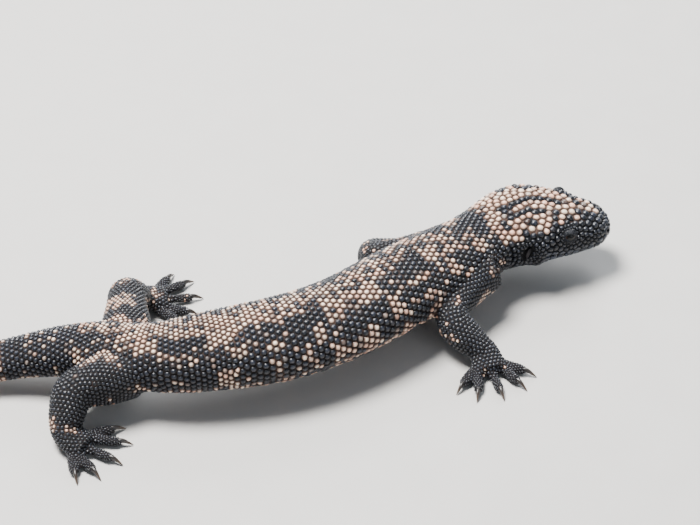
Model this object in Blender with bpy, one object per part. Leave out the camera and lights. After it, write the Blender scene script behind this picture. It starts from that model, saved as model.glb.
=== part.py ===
"""Gila monster, a still life-size model that stands on its four feet and lays its tail on the floor.

Lengths are in millimetres in the driving dimensions and become metres where a mesh is made.
+X runs towards the head, +Y towards the animal's left side, +Z up, and the floor is z = 0.
The spine is one smooth line from the tip of the snout, where the length along it is 0, to the tip of the
tail. The head, neck, trunk and tail are lofted round it, and each limb is lofted round a line of its own.
"""

import math

import bmesh
import bpy
import numpy as np
from mathutils import Vector

MM = 0.001
GAP = 0.3  # between two nodes that meet
ORIGIN = (-1.85, 5.45)  # the middle of the floor print in the layout of the points below

# The spine's points from snout to tail tip, as x, y and the height of the section's middle
SPINE = (
    (195.6, 81.5, 22.5),
    (172.0, 77.2, 24.7),
    (146.0, 75.6, 26.6),
    (127.0, 60.8, 26.6),
    (108.0, 44.6, 26.8),
    (82.0, 23.3, 26.8),
    (52.0, -0.6, 26.4),
    (22.0, -14.7, 26.2),
    (-10.0, -22.6, 26.0),
    (-42.0, -26.8, 24.5),
    (-66.0, -16.8, 22.0),
    (-90.0, -14.8, 18.0),
    (-118.0, -16.0, 12.8),
    (-150.0, -23.6, 9.5),
    (-178.0, -37.0, 7.8),
    (-199.0, -54.0, 5.4),
)
SPINE_EASE = 26.0  # the window over which the spine's bends are evened out

# Half-width, height above and height below the spine, at lengths along it
BODY_AT = (0, 10, 22, 35, 46, 56, 67, 80, 97, 128, 168, 214, 245, 270, 290, 315, 342, 380, 410, 428, 450)
BODY_WIDE = (13.4, 15, 19.4, 23.6, 26.6, 24.4, 21.2, 20, 21.6, 24, 24.6, 24.3, 21.8, 18.6, 16.4, 13.8, 11.2, 11.6, 10.2, 8.5, 7)
BODY_TOP = (8, 10, 12.6, 14.6, 15.8, 15.2, 14, 14.3, 16.5, 18.2, 18, 17.7, 16.4, 14.6, 13.4, 11.4, 9.5, 9.4, 8.3, 7, 6)
BODY_LOW = (8.5, 10, 11.8, 13.2, 14.8, 15.2, 15.8, 15.6, 16.8, 18.2, 18, 18, 16.8, 15, 13.4, 11.4, 9.7, 9.6, 8.4, 7, 6)
BOXINESS_AT = (0, 40, 70, 300)
BOXINESS = (2.35, 2.6, 2.3, 2.15)  # the power of the section's superellipse
SNOUT_ROUND = 12.0
TAIL_ROUND = 15.0

# Lengths along the spine at which one node ends and the next starts
HEAD_END = 68.0
BODY_NODES = (
    ("neck", HEAD_END, 92.0),
    ("chest", 92.0, 136.0),
    ("belly", 136.0, 188.0),
    ("loin", 188.0, 240.0),
    ("rump", 240.0, 300.0),
    ("tail_base", 300.0, 345.0),
    ("tail_middle", 345.0, 392.0),
)

# Rings of the loft
BODY_SIDES = 36
HEAD_RING = 2.7
BODY_RING = 4.8
SNOUT_RINGS = (0.25, 1.0, 2.2, 3.8, 5.6)

# Head
MOUTH_LINE = ((-3.0, -2.4), (8.0, -2.8), (18.0, -4.2), (28.0, -5.0), (37.0, -3.4))
JAW_BACK = ((42.0, -9.0), (49.0, -26.0))
JAW_FRONT_LOW = (-3.0, -26.0)
LIP_RADIUS = 1.5
LIP_RISE = 1.3
LIP_SPAN = (0.8, 38.0)
EYE_AT, EYE_RISE, EYE_RADIUS, EYE_SUNK = 26.0, 6.6, 3.1, 1.5
LID_TORUS, LID_THICK = 3.3, 1.15
BROW_HALF = (6.4, 3.3, 2.3)
NOSTRIL_AT, NOSTRIL_RISE, NOSTRIL_RADIUS = 5.0, 2.6, 1.7
EAR_AT, EAR_RISE, EAR_HALF, EAR_LEAN = 59.0, 0.5, (2.2, 2.2, 5.0), 22.0
EARDRUM_THICK = 0.8

# Limbs: joint in the body, bend, end of the shank and front of the foot, in the same layout
LIMBS = {
    "foreleg_right": ((126.0, 42.0, 23.0), (106.5, 8.5, 20.0), (125.5, -3.5, 8.0), (129.0, -14.0, 4.2)),
    "foreleg_left": ((104.0, 57.0, 24.0), (62.0, 57.0, 17.0), (79.0, 77.5, 7.5), (91.0, 78.2, 4.2)),
    "hindleg_right": ((-49.0, -32.0, 21.0), (-77.0, -45.0, 20.5), (-81.0, -62.0, 7.5), (-69.0, -68.0, 4.2)),
    "hindleg_left": ((-53.0, -13.0, 21.0), (-56.0, 26.0, 20.0), (-50.5, 38.5, 7.5), (-38.0, 41.5, 4.2)),
}
BEND_ROUND, END_ROUND = 10.0, 8.0
LIMB_SIDES = 16
LIMB_RING = 3.6
# Half-width and half-height of a limb at shares of its length
LIMB_AT = (0.0, 0.22, 0.42, 0.55, 0.68, 0.8, 0.9, 1.0)
FORE_WIDE = (12.5, 9.6, 8.3, 8.6, 8.9, 7.5, 8.2, 8.6)
FORE_HIGH = (12.5, 10.2, 8.8, 8.8, 8.2, 6.2, 4.9, 4.3)
HIND_WIDE = (13.0, 12.5, 10.4, 9.8, 8.8, 7.4, 8.4, 8.6)
HIND_HIGH = (13.5, 13.0, 10.6, 9.8, 8.6, 6.4, 4.9, 4.3)
UPPER_SHARE, LOWER_SHARE = 0.47, 0.81  # where the upper limb and the shank end
TOE_FAN = (-50.0, -25.0, 0.0, 25.0, 50.0)
FORE_TOES = (9.5, 12.5, 13.5, 12.5, 10.0)
HIND_TOES = (9.0, 12.5, 14.5, 14.5, 11.0)
TOE_RADIUS, TOE_SIDES = 2.7, 7
CLAW_LONG, CLAW_RADIUS, CLAW_TIP = 6.5, 1.45, 0.3
TOE_ROOT = 5.5  # how far a toe starts inside the foot

# Beads stand this far over the skin between them
BEAD_RELIEF = 0.9
HEAD_BEAD_RELIEF = 1.1
LIMB_BEAD_RELIEF = 0.6
BEADS_ABOVE = -0.35  # no beads where the skin faces further down than this

BLACK_SKIN = ("beaded_skin_black", (0.030, 0.028, 0.032, 1.0), 0.45, 0.0)
PINK_SKIN = ("beaded_skin_salmon", (0.62, 0.36, 0.25, 1.0), 0.5, 0.0)
EYE_BROWN = ("eye_dark_brown", (0.02, 0.012, 0.008, 1.0), 0.08, 0.0)
EARDRUM_SKIN = ("eardrum_skin", (0.10, 0.07, 0.06, 1.0), 0.4, 0.0)


def clear_scene():
    """Remove the objects that a new file opens with."""
    for found in list(bpy.data.objects):
        bpy.data.objects.remove(found, do_unlink=True)


def finish_of(name, colour, roughness, metallic):
    """A Principled material, made once and then shared."""
    material = bpy.data.materials.get(name)
    if material is None:
        material = bpy.data.materials.new(name)
        material.use_nodes = True
        shader = material.node_tree.nodes["Principled BSDF"]
        shader.inputs["Base Color"].default_value = colour
        shader.inputs["Roughness"].default_value = roughness
        shader.inputs["Metallic"].default_value = metallic
        material.diffuse_color = colour
    return material


def smooth(at, keys, values):
    """Values at the places given, on a smooth cubic curve through the keys."""
    at = np.asarray(at, float)
    keys = np.asarray(keys, float)
    values = np.asarray(values, float)
    slopes = np.gradient(values, keys, axis=0)
    index = np.clip(np.searchsorted(keys, at, side="right") - 1, 0, len(keys) - 2)
    span = keys[index + 1] - keys[index]
    t = np.clip((at - keys[index]) / span, 0.0, 1.0)
    if values.ndim > 1:
        t, span = t[..., None], span[..., None]
    start = values[index] * (1 + 2 * t) * (1 - t) ** 2 + slopes[index] * span * t * (1 - t) ** 2
    return start + values[index + 1] * t**2 * (3 - 2 * t) - slopes[index + 1] * span * t**2 * (1 - t)


def eased(points, window):
    """The line with each point moved to the mean of its neighbours inside a window that shrinks at the ends."""
    count = len(points)
    step = np.linalg.norm(np.diff(points, axis=0), axis=1).mean()
    index = np.arange(count)
    half = np.minimum(np.minimum(index, count - 1 - index), round(window / step / 2))
    total = np.vstack((np.zeros(3), np.cumsum(points, axis=0)))
    return (total[index + half + 1] - total[index - half]) / (2 * half + 1)[:, None]


class Line:
    """A smooth line through points, read by the length along it, with a level side direction at each place."""

    def __init__(self, points, ease=0.0):
        points = np.asarray(points, float)
        chords = np.r_[0, np.cumsum(np.linalg.norm(np.diff(points, axis=0), axis=1))]
        fine = np.linspace(0, chords[-1], 40 * len(points))
        self.points = smooth(fine, chords, points)
        if ease > 0:
            self.points = eased(eased(self.points, ease), ease)
        self.lengths = np.r_[0, np.cumsum(np.linalg.norm(np.diff(self.points, axis=0), axis=1))]
        self.long = self.lengths[-1]

    def place(self, length):
        """The point at a length along the line."""
        return np.array([np.interp(length, self.lengths, self.points[:, k]) for k in range(3)])

    def frame(self, length):
        """The point, the direction back along the line, the animal's left and up."""
        along = self.place(length + 0.5) - self.place(length - 0.5)
        if length < 1.0:
            along = self.place(2.0) - self.place(0.0)
        along = along / np.linalg.norm(along)
        left = np.cross((0, 0, 1.0), -along)
        left = left / np.linalg.norm(left)
        return self.place(length), along, left, np.cross(-along, left)


def filleted(corners, rounds, steps=9):
    """The points of a bent line with each inner corner replaced by an arc of the radius given."""
    corners = [np.asarray(c, float) for c in corners]
    line = [corners[0]]
    for before, corner, after, radius in zip(corners, corners[1:], corners[2:], rounds):
        back = (before - corner) / np.linalg.norm(before - corner)
        ahead = (after - corner) / np.linalg.norm(after - corner)
        half = 0.5 * math.acos(np.clip(back @ ahead, -1, 1))
        reach = min(radius / math.tan(half), 0.62 * np.linalg.norm(after - corner))
        middle = corner + (back + ahead) / np.linalg.norm(back + ahead) * reach / math.cos(half)
        start, end = corner + back * reach - middle, corner + ahead * reach - middle
        turn = math.pi - 2 * half
        for t in np.linspace(0, 1, steps):
            blend = math.sin((1 - t) * turn) * start + math.sin(t * turn) * end
            line.append(middle + blend / math.sin(turn))
    line.append(corners[-1])
    return line


def ring(centre, left, up, wide, top, low, power, sides, turn=0.0):
    """A superellipse section: |x / wide| ** power + |z / high| ** power = 1, flatter or taller on its lower half."""
    angle = (np.arange(sides) + turn) / sides * 2 * np.pi
    c, s = np.cos(angle), np.sin(angle)
    x = wide * np.sign(c) * np.abs(c) ** (2 / power)
    high = np.where(s >= 0, top, low)
    z = high * np.sign(s) * np.abs(s) ** (2 / power)
    return centre + x[:, None] * left + z[:, None] * up


def face_outwards(mesh):
    """Turn the faces of a closed mesh outwards, by the sign of the volume that they enclose."""
    bmesh.ops.recalc_face_normals(mesh, faces=mesh.faces)
    if mesh.calc_volume(signed=True) < 0:
        bmesh.ops.reverse_faces(mesh, faces=mesh.faces)


def loft(rings, first_point=None, last_point=None):
    """A closed mesh through rings of equally many points, ended by flat caps or by a point.

    Each four-sided cell is split between its two sunk corners, so that a raised point is the top of a bead.
    """
    mesh = bmesh.new()
    loops = [[mesh.verts.new(p * MM) for p in points] for points in rings]
    count = len(loops[0])
    for row, (one, two) in enumerate(zip(loops, loops[1:])):
        for k in range(count):
            after = (k + 1) % count
            if (k + row) % 2 == 1:
                mesh.faces.new((one[k], two[k], two[after]))
                mesh.faces.new((one[k], two[after], one[after]))
            else:
                mesh.faces.new((one[k], two[k], one[after]))
                mesh.faces.new((one[after], two[k], two[after]))
    for loop, point in ((loops[0], first_point), (loops[-1], last_point)):
        if point is None:
            mesh.faces.new(loop)
            continue
        tip = mesh.verts.new(np.asarray(point, float) * MM)
        for k in range(count):
            mesh.faces.new((loop[k], loop[(k + 1) % count], tip))
    face_outwards(mesh)
    return mesh


def object_of(mesh, name, finish=None, collection=None):
    """An object from a bmesh, which is used up."""
    data = bpy.data.meshes.new(name)
    mesh.to_mesh(data)
    mesh.free()
    made = bpy.data.objects.new(name, data)
    (collection or bpy.data.collections["gila_monster"]).objects.link(made)
    if finish is not None:
        data.materials.append(finish_of(*finish))
    return made


def cutter(mesh, name):
    """A helper for a Boolean, which no render and no build shows."""
    made = object_of(mesh, name, collection=bpy.data.collections["cutters"])
    made.hide_render = True
    made.display_type = "WIRE"
    return made


def apply_boolean(target, helpers, operation, folded=False):
    """Join helpers to the target, or cut them from it, by one applied Boolean, and remove them.

    folded says that a helper may cross itself.
    """
    operands = bpy.data.collections.new("operands")
    bpy.context.scene.collection.children.link(operands)
    for helper in helpers:
        for owner in list(helper.users_collection):
            owner.objects.unlink(helper)
        operands.objects.link(helper)
    modifier = target.modifiers.new("fuse", "BOOLEAN")
    modifier.operation = operation
    modifier.solver = "EXACT"
    modifier.use_self = folded
    modifier.operand_type = "COLLECTION"
    modifier.collection = operands
    bpy.context.view_layer.update()
    graph = bpy.context.evaluated_depsgraph_get()
    data = bpy.data.meshes.new_from_object(target.evaluated_get(graph))
    target.modifiers.clear()
    target.data = data
    for helper in helpers:
        bpy.data.objects.remove(helper, do_unlink=True)
    bpy.data.collections.remove(operands)
    keep_largest(target)


def keep_largest(target):
    """Weld the mesh, triangulate it and keep the largest of its closed surfaces."""
    mesh = bmesh.new()
    mesh.from_mesh(target.data)
    bmesh.ops.triangulate(mesh, faces=mesh.faces)
    bmesh.ops.remove_doubles(mesh, verts=mesh.verts, dist=0.000001)
    bmesh.ops.dissolve_degenerate(mesh, edges=mesh.edges, dist=0.000001)
    left = set(mesh.verts)
    pieces = []
    while left:
        piece, queue = set(), [next(iter(left))]
        while queue:
            vert = queue.pop()
            if vert not in piece:
                piece.add(vert)
                queue.extend(edge.other_vert(vert) for edge in vert.link_edges)
        left -= piece
        pieces.append(piece)
    largest = max(pieces, key=len)
    bmesh.ops.delete(mesh, geom=[v for v in mesh.verts if v not in largest], context="VERTS")
    mesh.to_mesh(target.data)
    mesh.free()


def cut_at_floor(target):
    """Cut away what reaches below the floor, which leaves the flats that the animal rests on."""
    mesh = bmesh.new()
    mesh.from_mesh(target.data)
    geometry = mesh.verts[:] + mesh.edges[:] + mesh.faces[:]
    bmesh.ops.bisect_plane(
        mesh, geom=geometry, dist=0.00001, plane_co=(0, 0, 0), plane_no=(0, 0, 1), clear_inner=True
    )
    open_edges = [edge for edge in mesh.edges if edge.is_boundary]
    bmesh.ops.holes_fill(mesh, edges=open_edges, sides=0)
    face_outwards(mesh)
    mesh.to_mesh(target.data)
    mesh.free()
    keep_largest(target)


def body_sizes(length, grow=0.0):
    """Half-width, height above, height below and boxiness of the body at a length along the spine."""
    front = np.clip(length / SNOUT_ROUND, 0, 1)
    back = np.clip((spine.long - length) / TAIL_ROUND, 0, 1)
    blunt = (1 - (1 - front) ** 2.3) ** (1 / 2.1) * (1 - (1 - back) ** 2) ** 0.5
    wide, top, low = (
        float(smooth(length, BODY_AT, keys)) * blunt + grow for keys in (BODY_WIDE, BODY_TOP, BODY_LOW)
    )
    return wide, top, low, float(smooth(length, BOXINESS_AT, BOXINESS))


def beaded(points, centre, up, relief, index):
    """A section's points with every second one sunk between the beads, save on the flat scales underneath."""
    out = points - centre
    out /= np.linalg.norm(out, axis=1)[:, None]
    sunk = (out @ up > BEADS_ABOVE) & ((np.arange(len(points)) + index) % 2 == 1)
    return points - out * (relief * sunk)[:, None]


def body_ring(length, grow=0.0, index=None):
    """The body's section at a length along the spine, with every second point raised where it carries beads."""
    centre, _, left, up = spine.frame(length)
    wide, top, low, power = body_sizes(length, grow)
    points = ring(centre, left, up, wide, top, low, power, BODY_SIDES)
    if index is None:
        return points
    relief = HEAD_BEAD_RELIEF if length < HEAD_END else BEAD_RELIEF
    return beaded(points, centre, up, relief, index)


def on_head(length, side, rise, out=0.0):
    """A point on the head's skin: side is 1 on the left and -1 on the right, rise is above the spine."""
    centre, _, left, up = spine.frame(length)
    wide, top, low, power = body_sizes(length)
    high = top if rise >= 0 else low
    lateral = wide * (1 - min(0.999, abs(rise / high)) ** power) ** (1 / power)
    return centre + left * side * (lateral + out) + up * rise


def spread(start, end, step):
    """Evenly spaced lengths from start to end, about a step apart."""
    return np.linspace(start, end, max(2, round((end - start) / step) + 1))


def tube(points, radii, sides, power=2.0):
    """A closed tube round a line of points, by a radius at each."""
    line = Line(points)
    lengths = np.linspace(0, line.long, len(radii))
    rings = []
    for length, radius in zip(lengths, radii):
        centre, _, left, up = line.frame(float(length))
        rings.append(ring(centre, left, up, radius, radius, radius, power, sides))
    return loft(rings)


def ball(half, name, centre, sides=14, rings=8, lean=0.0, frame=None):
    """An ellipsoid with its three half-sizes along a frame's back, side and up directions."""
    mesh = bmesh.new()
    bmesh.ops.create_uvsphere(mesh, u_segments=sides, v_segments=rings, radius=1.0)
    along, left, up = frame
    c, s = math.cos(math.radians(lean)), math.sin(math.radians(lean))
    along, up = along * c + up * s, up * c - along * s
    for vert in mesh.verts:
        x, y, z = vert.co
        place = np.asarray(centre) + along * x * half[0] + left * y * half[1] + up * z * half[2]
        vert.co = Vector(place * MM)
    face_outwards(mesh)
    return cutter(mesh, name)


def mouth_rise(length):
    """How far the line of the mouth lies above the spine."""
    at, rise = np.array(MOUTH_LINE).T
    return float(smooth(length, at, rise))


def lip(side, rise):
    """A lip as a tube along the line of the mouth, round the snout's side."""
    lengths = np.linspace(*LIP_SPAN, 9)
    points = [on_head(s, side, mouth_rise(s) + rise, -LIP_RADIUS * 0.55) for s in lengths]
    radii = [LIP_RADIUS * (0.55 + 0.45 * math.sin(math.pi * t) ** 0.5) for t in np.linspace(0, 1, 9)]
    return cutter(tube(points, radii, 8), "lip")


def mouth_block(grow):
    """A block below the line of the mouth and in front of the throat, which parts the lower jaw."""
    outline = [(s, rise + grow) for s, rise in MOUTH_LINE]
    outline += [(s + grow, rise) for s, rise in JAW_BACK] + [JAW_FRONT_LOW]
    mesh = bmesh.new()
    loops = []
    for lateral in (-34, -12, 12, 34):
        loop = []
        for s, rise in outline:
            centre, along, left, up = spine.frame(max(0.0, s))
            place = centre + along * min(0.0, s) + left * lateral + up * rise
            loop.append(mesh.verts.new(place * MM))
        loops.append(loop)
    count = len(outline)
    for one, two in zip(loops, loops[1:]):
        for k in range(count):
            after = (k + 1) % count
            mesh.faces.new((one[k], one[after], two[k]))
            mesh.faces.new((two[k], one[after], two[after]))
    mesh.faces.new(loops[0])
    mesh.faces.new(loops[-1])
    face_outwards(mesh)
    return cutter(mesh, "mouth_block")


def head_frame(length):
    """Directions back, left and up at a length along the spine."""
    _, along, left, up = spine.frame(length)
    return along, left, up


def eye_centre(side):
    """The middle of an eyeball."""
    return on_head(EYE_AT, side, EYE_RISE, -EYE_SUNK)


def add_head():
    """The head with its brows, lids, lips, nostrils and ear cups, and the lower jaw as a node of its own."""
    lengths = list(SNOUT_RINGS) + list(spread(SNOUT_RINGS[-1] + HEAD_RING, HEAD_END - GAP / 2, HEAD_RING))
    last = len(lengths) - 1
    rings = [body_ring(s, index=k if 3 < k < last else None) for k, s in enumerate(lengths)]
    head = object_of(loft(rings, first_point=spine.place(0.0)), "head", BLACK_SKIN)
    frame = head_frame(EYE_AT)
    joined, cut = [], []
    for side in (1, -1):
        brow = on_head(EYE_AT + 0.5, side, EYE_RISE + 2.9, -1.5)
        joined.append(ball(BROW_HALF, "brow", brow, frame=frame))
        joined.append(ball((LID_TORUS + LID_THICK,) * 3, "lids", eye_centre(side), frame=frame))
        joined += [lip(side, LIP_RISE), lip(side, -LIP_RISE)]
        socket = (EYE_RADIUS + GAP,) * 3
        cut.append(ball(socket, "socket", eye_centre(side), frame=frame))
        opening = eye_centre(side) + frame[1] * side * EYE_RADIUS * 1.2
        cut.append(ball((LID_TORUS, EYE_RADIUS, LID_TORUS * 0.74), "opening", opening, frame=frame))
        nostril = on_head(NOSTRIL_AT, side, NOSTRIL_RISE, -0.2)
        cut.append(ball((NOSTRIL_RADIUS,) * 3, "nostril", nostril, 8, 6, frame=head_frame(NOSTRIL_AT)))
        ear = on_head(EAR_AT, side, EAR_RISE)
        cut.append(ball(EAR_HALF, "ear_cup", ear, 12, 8, EAR_LEAN, head_frame(EAR_AT)))
    apply_boolean(head, joined, "UNION", folded=True)
    apply_boolean(head, cut, "DIFFERENCE", folded=True)
    jaw = object_of(bmesh_of(head), "lower_jaw", BLACK_SKIN)
    apply_boolean(jaw, [mouth_block(0.0)], "INTERSECT", folded=True)
    apply_boolean(head, [mouth_block(GAP)], "DIFFERENCE", folded=True)
    return head, jaw


def bmesh_of(source):
    """A bmesh copy of an object's mesh."""
    mesh = bmesh.new()
    mesh.from_mesh(source.data)
    return mesh


def add_eyes():
    """An eyeball in each socket."""
    frame = head_frame(EYE_AT)
    for side, name in ((1, "eye_left"), (-1, "eye_right")):
        eye = ball((EYE_RADIUS,) * 3, name, eye_centre(side), 14, 9, frame=frame)
        show(eye, name, EYE_BROWN)


def add_eardrums():
    """The eardrum at the bottom of each ear cup."""
    frame = head_frame(EAR_AT)
    for side, name in ((1, "eardrum_left"), (-1, "eardrum_right")):
        half = (EAR_HALF[0] * 0.62, EARDRUM_THICK / 2, EAR_HALF[2] * 0.62)
        depth = EAR_HALF[1] - EARDRUM_THICK - 0.25
        drum = ball(half, name, on_head(EAR_AT, side, EAR_RISE, -depth), 10, 6, EAR_LEAN, frame)
        show(drum, name, EARDRUM_SKIN)


def show(helper, name, finish):
    """Make a node of a helper."""
    helper.users_collection[0].objects.unlink(helper)
    bpy.data.collections["gila_monster"].objects.link(helper)
    helper.name = name
    helper.hide_render = False
    helper.display_type = "TEXTURED"
    helper.data.materials.append(finish_of(*finish))


def add_body():
    """Neck, trunk and tail as lengths of one loft, a gap apart."""
    for number, (name, start, end) in enumerate(BODY_NODES):
        lengths = spread(start + GAP / 2, end - GAP / 2, BODY_RING)
        last = len(lengths) - 1
        rings = [body_ring(s, index=k if 0 < k < last else None) for k, s in enumerate(lengths)]
        made = object_of(loft(rings), name, PINK_SKIN if number % 2 else BLACK_SKIN)
        if name.startswith("tail"):
            cut_at_floor(made)
    lengths = spread(BODY_NODES[-1][2] + GAP / 2, spine.long - TAIL_ROUND, BODY_RING)
    ends = spine.long - TAIL_ROUND * np.array((0.72, 0.5, 0.3, 0.14, 0.04))
    lengths = np.r_[lengths, ends]
    rings = [body_ring(s, index=k if 0 < k < len(lengths) - 3 else None) for k, s in enumerate(lengths)]
    tip = object_of(loft(rings, last_point=spine.place(spine.long)), "tail_tip", PINK_SKIN)
    cut_at_floor(tip)


def trunk_cutter():
    """The trunk from neck to tail, grown by the gap, to cut the limbs' roots to its shape."""
    lengths = spread(66.0, 320.0, BODY_RING)
    return cutter(loft([body_ring(s, GAP) for s in lengths]), "trunk")


def limb_ring(line, length, wide, high, index=None):
    """A limb's section at a length along it."""
    centre, _, left, up = line.frame(length)
    share = length / line.long
    half = float(smooth(share, LIMB_AT, wide))
    rise = float(smooth(share, LIMB_AT, high))
    points = ring(centre, left, up, half, rise, rise, 2.2, LIMB_SIDES)
    if index is None:
        return points
    return beaded(points, centre, up, LIMB_BEAD_RELIEF, index)


def digit(root, direction, long, name):
    """A toe with its claw as one tapered tube: it arches a little, and the claw bends down to the floor."""
    direction = direction / np.linalg.norm(direction)
    total = TOE_ROOT + long + CLAW_LONG
    toe_share = (TOE_ROOT + long) / total
    at = np.array((0.0, 0.5, 0.92, 1.0)) * toe_share
    at = np.r_[at, toe_share + (1 - toe_share) * np.array((0.04, 0.5, 1.0))]
    radius = TOE_RADIUS * np.array((0.95, 1.0, 0.86, 0.66))
    radius = np.r_[radius, CLAW_RADIUS, CLAW_RADIUS * 0.75, CLAW_TIP]
    rise = np.array((4.0, 3.2, 2.5, 2.6, 2.8, 2.5, 0.5))
    points = [root + direction * total * t + np.array((0, 0, z)) for t, z in zip(at, rise)]
    rings = []
    for k, (point, r) in enumerate(zip(points, radius)):
        ahead = points[min(k + 1, len(points) - 1)] - points[max(k - 1, 0)]
        ahead /= np.linalg.norm(ahead)
        left = np.cross((0, 0, 1.0), ahead)
        left /= np.linalg.norm(left)
        rings.append(ring(point, left, np.cross(ahead, left), r, r, r, 2.0, TOE_SIDES))
    return cutter(loft(rings), name)


def add_limb(name, corners):
    """An upper limb, a shank and a foot with its toes and claws."""
    fore = name.startswith("fore")
    wide, high = (FORE_WIDE, FORE_HIGH) if fore else (HIND_WIDE, HIND_HIGH)
    line = Line(filleted(corners, (BEND_ROUND, END_ROUND)))
    upper_end, lower_end = line.long * UPPER_SHARE, line.long * LOWER_SHARE
    parts = (
        ("upper", 0.0, upper_end - GAP / 2, PINK_SKIN),
        ("shank", upper_end + GAP / 2, lower_end - GAP / 2, BLACK_SKIN),
        ("foot", lower_end + GAP / 2, line.long, BLACK_SKIN),
    )
    made = {}
    for part, start, end, finish in parts:
        lengths = spread(start, end, LIMB_RING)
        last = len(lengths) - 1
        rings = []
        for k, s in enumerate(lengths):
            index = k if 0 < k < last and part != "foot" else None
            rings.append(limb_ring(line, float(s), wide, high, index))
        made[part] = object_of(loft(rings), f"{name}_{part}", finish)
    for part in ("upper", "shank"):
        apply_boolean(made[part], [trunk_cutter()], "DIFFERENCE")
    front, along, left, up = line.frame(line.long - 1.0)
    ahead = along * np.array((1, 1, 0))
    ahead /= np.linalg.norm(ahead)
    digits = []
    root = front * np.array((1, 1, 0)) - ahead * TOE_ROOT
    across = float(smooth(0.95, LIMB_AT, wide)) - TOE_RADIUS
    for angle, long in zip(TOE_FAN, FORE_TOES if fore else HIND_TOES):
        a = math.radians(angle)
        sideways = np.cross((0, 0, 1.0), ahead)
        direction = ahead * math.cos(a) + sideways * math.sin(a)
        start = root + sideways * across * math.sin(a * 1.5) * 0.9
        digits.append(digit(start, direction, long, "digit"))
    apply_boolean(made["foot"], digits, "UNION")
    cut_at_floor(made["foot"])


def centre_on_floor():
    """Move every node so that the origin is the middle of the model's box, on the floor."""
    for node in bpy.data.collections["gila_monster"].objects:
        for vert in node.data.vertices:
            vert.co.x -= ORIGIN[0] * MM
            vert.co.y -= ORIGIN[1] * MM


def shade():
    """Round the shading, with sharp edges kept at cuts."""
    for node in bpy.data.collections["gila_monster"].objects:
        node.data.shade_smooth()
        node.data.set_sharp_from_angle(angle=math.radians(50))


def main():
    clear_scene()
    for name in ("gila_monster", "cutters"):
        collection = bpy.data.collections.new(name)
        bpy.context.scene.collection.children.link(collection)
    add_head()
    add_eyes()
    add_eardrums()
    add_body()
    for name, corners in LIMBS.items():
        add_limb(name, corners)
    centre_on_floor()
    shade()


spine = Line(SPINE, SPINE_EASE)
main()
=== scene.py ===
"""Looks of a life-size gila monster that stands on its four feet, with its tail laid on the floor.

Lengths are in millimetres in the driving sizes and become metres where a mesh is made.
+X runs towards the head, +Y towards the animal's left side, +Z up, and the floor is z = 0.
One skin runs over the whole animal. Round beads stand on it in staggered rows, each with an outline that
its neighbours share, and the eyes, lids, claws and eardrums are pieces of their own.
"""

import sys
import logging
import math
from dataclasses import dataclass, field
from enum import Enum

import bpy
import numpy as np
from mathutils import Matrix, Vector
from mathutils.bvhtree import BVHTree
from mathutils.kdtree import KDTree


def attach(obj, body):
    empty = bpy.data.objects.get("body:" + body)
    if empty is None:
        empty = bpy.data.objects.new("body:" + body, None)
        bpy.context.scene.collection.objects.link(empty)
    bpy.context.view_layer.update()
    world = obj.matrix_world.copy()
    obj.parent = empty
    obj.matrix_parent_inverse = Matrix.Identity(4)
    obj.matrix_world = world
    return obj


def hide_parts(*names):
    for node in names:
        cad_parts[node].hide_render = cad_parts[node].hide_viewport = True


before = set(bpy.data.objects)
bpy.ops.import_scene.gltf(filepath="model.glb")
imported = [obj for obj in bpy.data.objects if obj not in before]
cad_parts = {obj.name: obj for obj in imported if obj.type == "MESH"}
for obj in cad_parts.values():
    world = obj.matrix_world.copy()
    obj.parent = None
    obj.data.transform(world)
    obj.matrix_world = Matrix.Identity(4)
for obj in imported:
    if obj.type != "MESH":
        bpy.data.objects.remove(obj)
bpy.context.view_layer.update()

LOG = logging.getLogger("gila_monster")
MM = 0.001
ORIGIN = np.array((-1.85, 5.45, 0.0))

Array = np.ndarray


# ---------------------------------------------------------------- curves and sections


def smooth(at: Array, keys: Array, values: Array) -> Array:
    """Values on a cubic Hermite curve through keys, with central slopes and held ends.

    Args:
        at: places to read.
        keys: rising places at which the values are given.
        values: one value or one row for each key.

    Returns:
        The values at the places.
    """
    at, keys, values = (np.asarray(a, float) for a in (at, keys, values))
    slopes = np.gradient(values, keys, axis=0)
    index = np.clip(np.searchsorted(keys, at, side="right") - 1, 0, len(keys) - 2)
    span = keys[index + 1] - keys[index]
    t = np.clip((at - keys[index]) / span, 0.0, 1.0)
    if values.ndim > 1:
        t, span = t[..., None], span[..., None]
    start = values[index] * (1 + 2 * t) * (1 - t) ** 2 + slopes[index] * span * t * (1 - t) ** 2
    return start + values[index + 1] * t**2 * (3 - 2 * t) - slopes[index + 1] * span * t**2 * (1 - t)


def ramp(value: Array, low: float, high: float) -> Array:
    """0 below low, 1 above high, and 3 t squared - 2 t cubed between."""
    t = np.clip((np.asarray(value, float) - low) / (high - low), 0, 1)
    return t * t * (3 - 2 * t)


def unit(vectors: Array) -> Array:
    """Each row divided by its length."""
    return vectors / np.maximum(np.linalg.norm(vectors, axis=-1, keepdims=True), 1e-12)


def value_noise(points: Array, size: float, seed: int) -> Array:
    """Smooth noise from -1 to 1: random values on a cubic lattice, blended with 3 t squared - 2 t cubed.

    Args:
        points: places, (n, 3).
        size: edge of a lattice cell.
        seed: which noise.

    Returns:
        One value for each place.
    """
    scaled = points / size + 100.0
    cell = np.floor(scaled).astype(np.int64)
    t = scaled - cell
    t = t * t * (3 - 2 * t)
    total = np.zeros(len(points))
    for corner in range(8):
        step = np.array([(corner >> k) & 1 for k in range(3)])
        at = cell + step
        mixed = (at[:, 0] * 73856093) ^ (at[:, 1] * 19349663) ^ (at[:, 2] * 83492791) ^ (seed * 2654435)
        mixed = (mixed ^ (mixed >> 13)) * 1274126177 & 0x7FFFFFFF
        value = ((mixed ^ (mixed >> 16)) % 65536) / 32767.5 - 1
        total += value * np.prod(np.where(step, t, 1 - t), axis=1)
    return total


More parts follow.
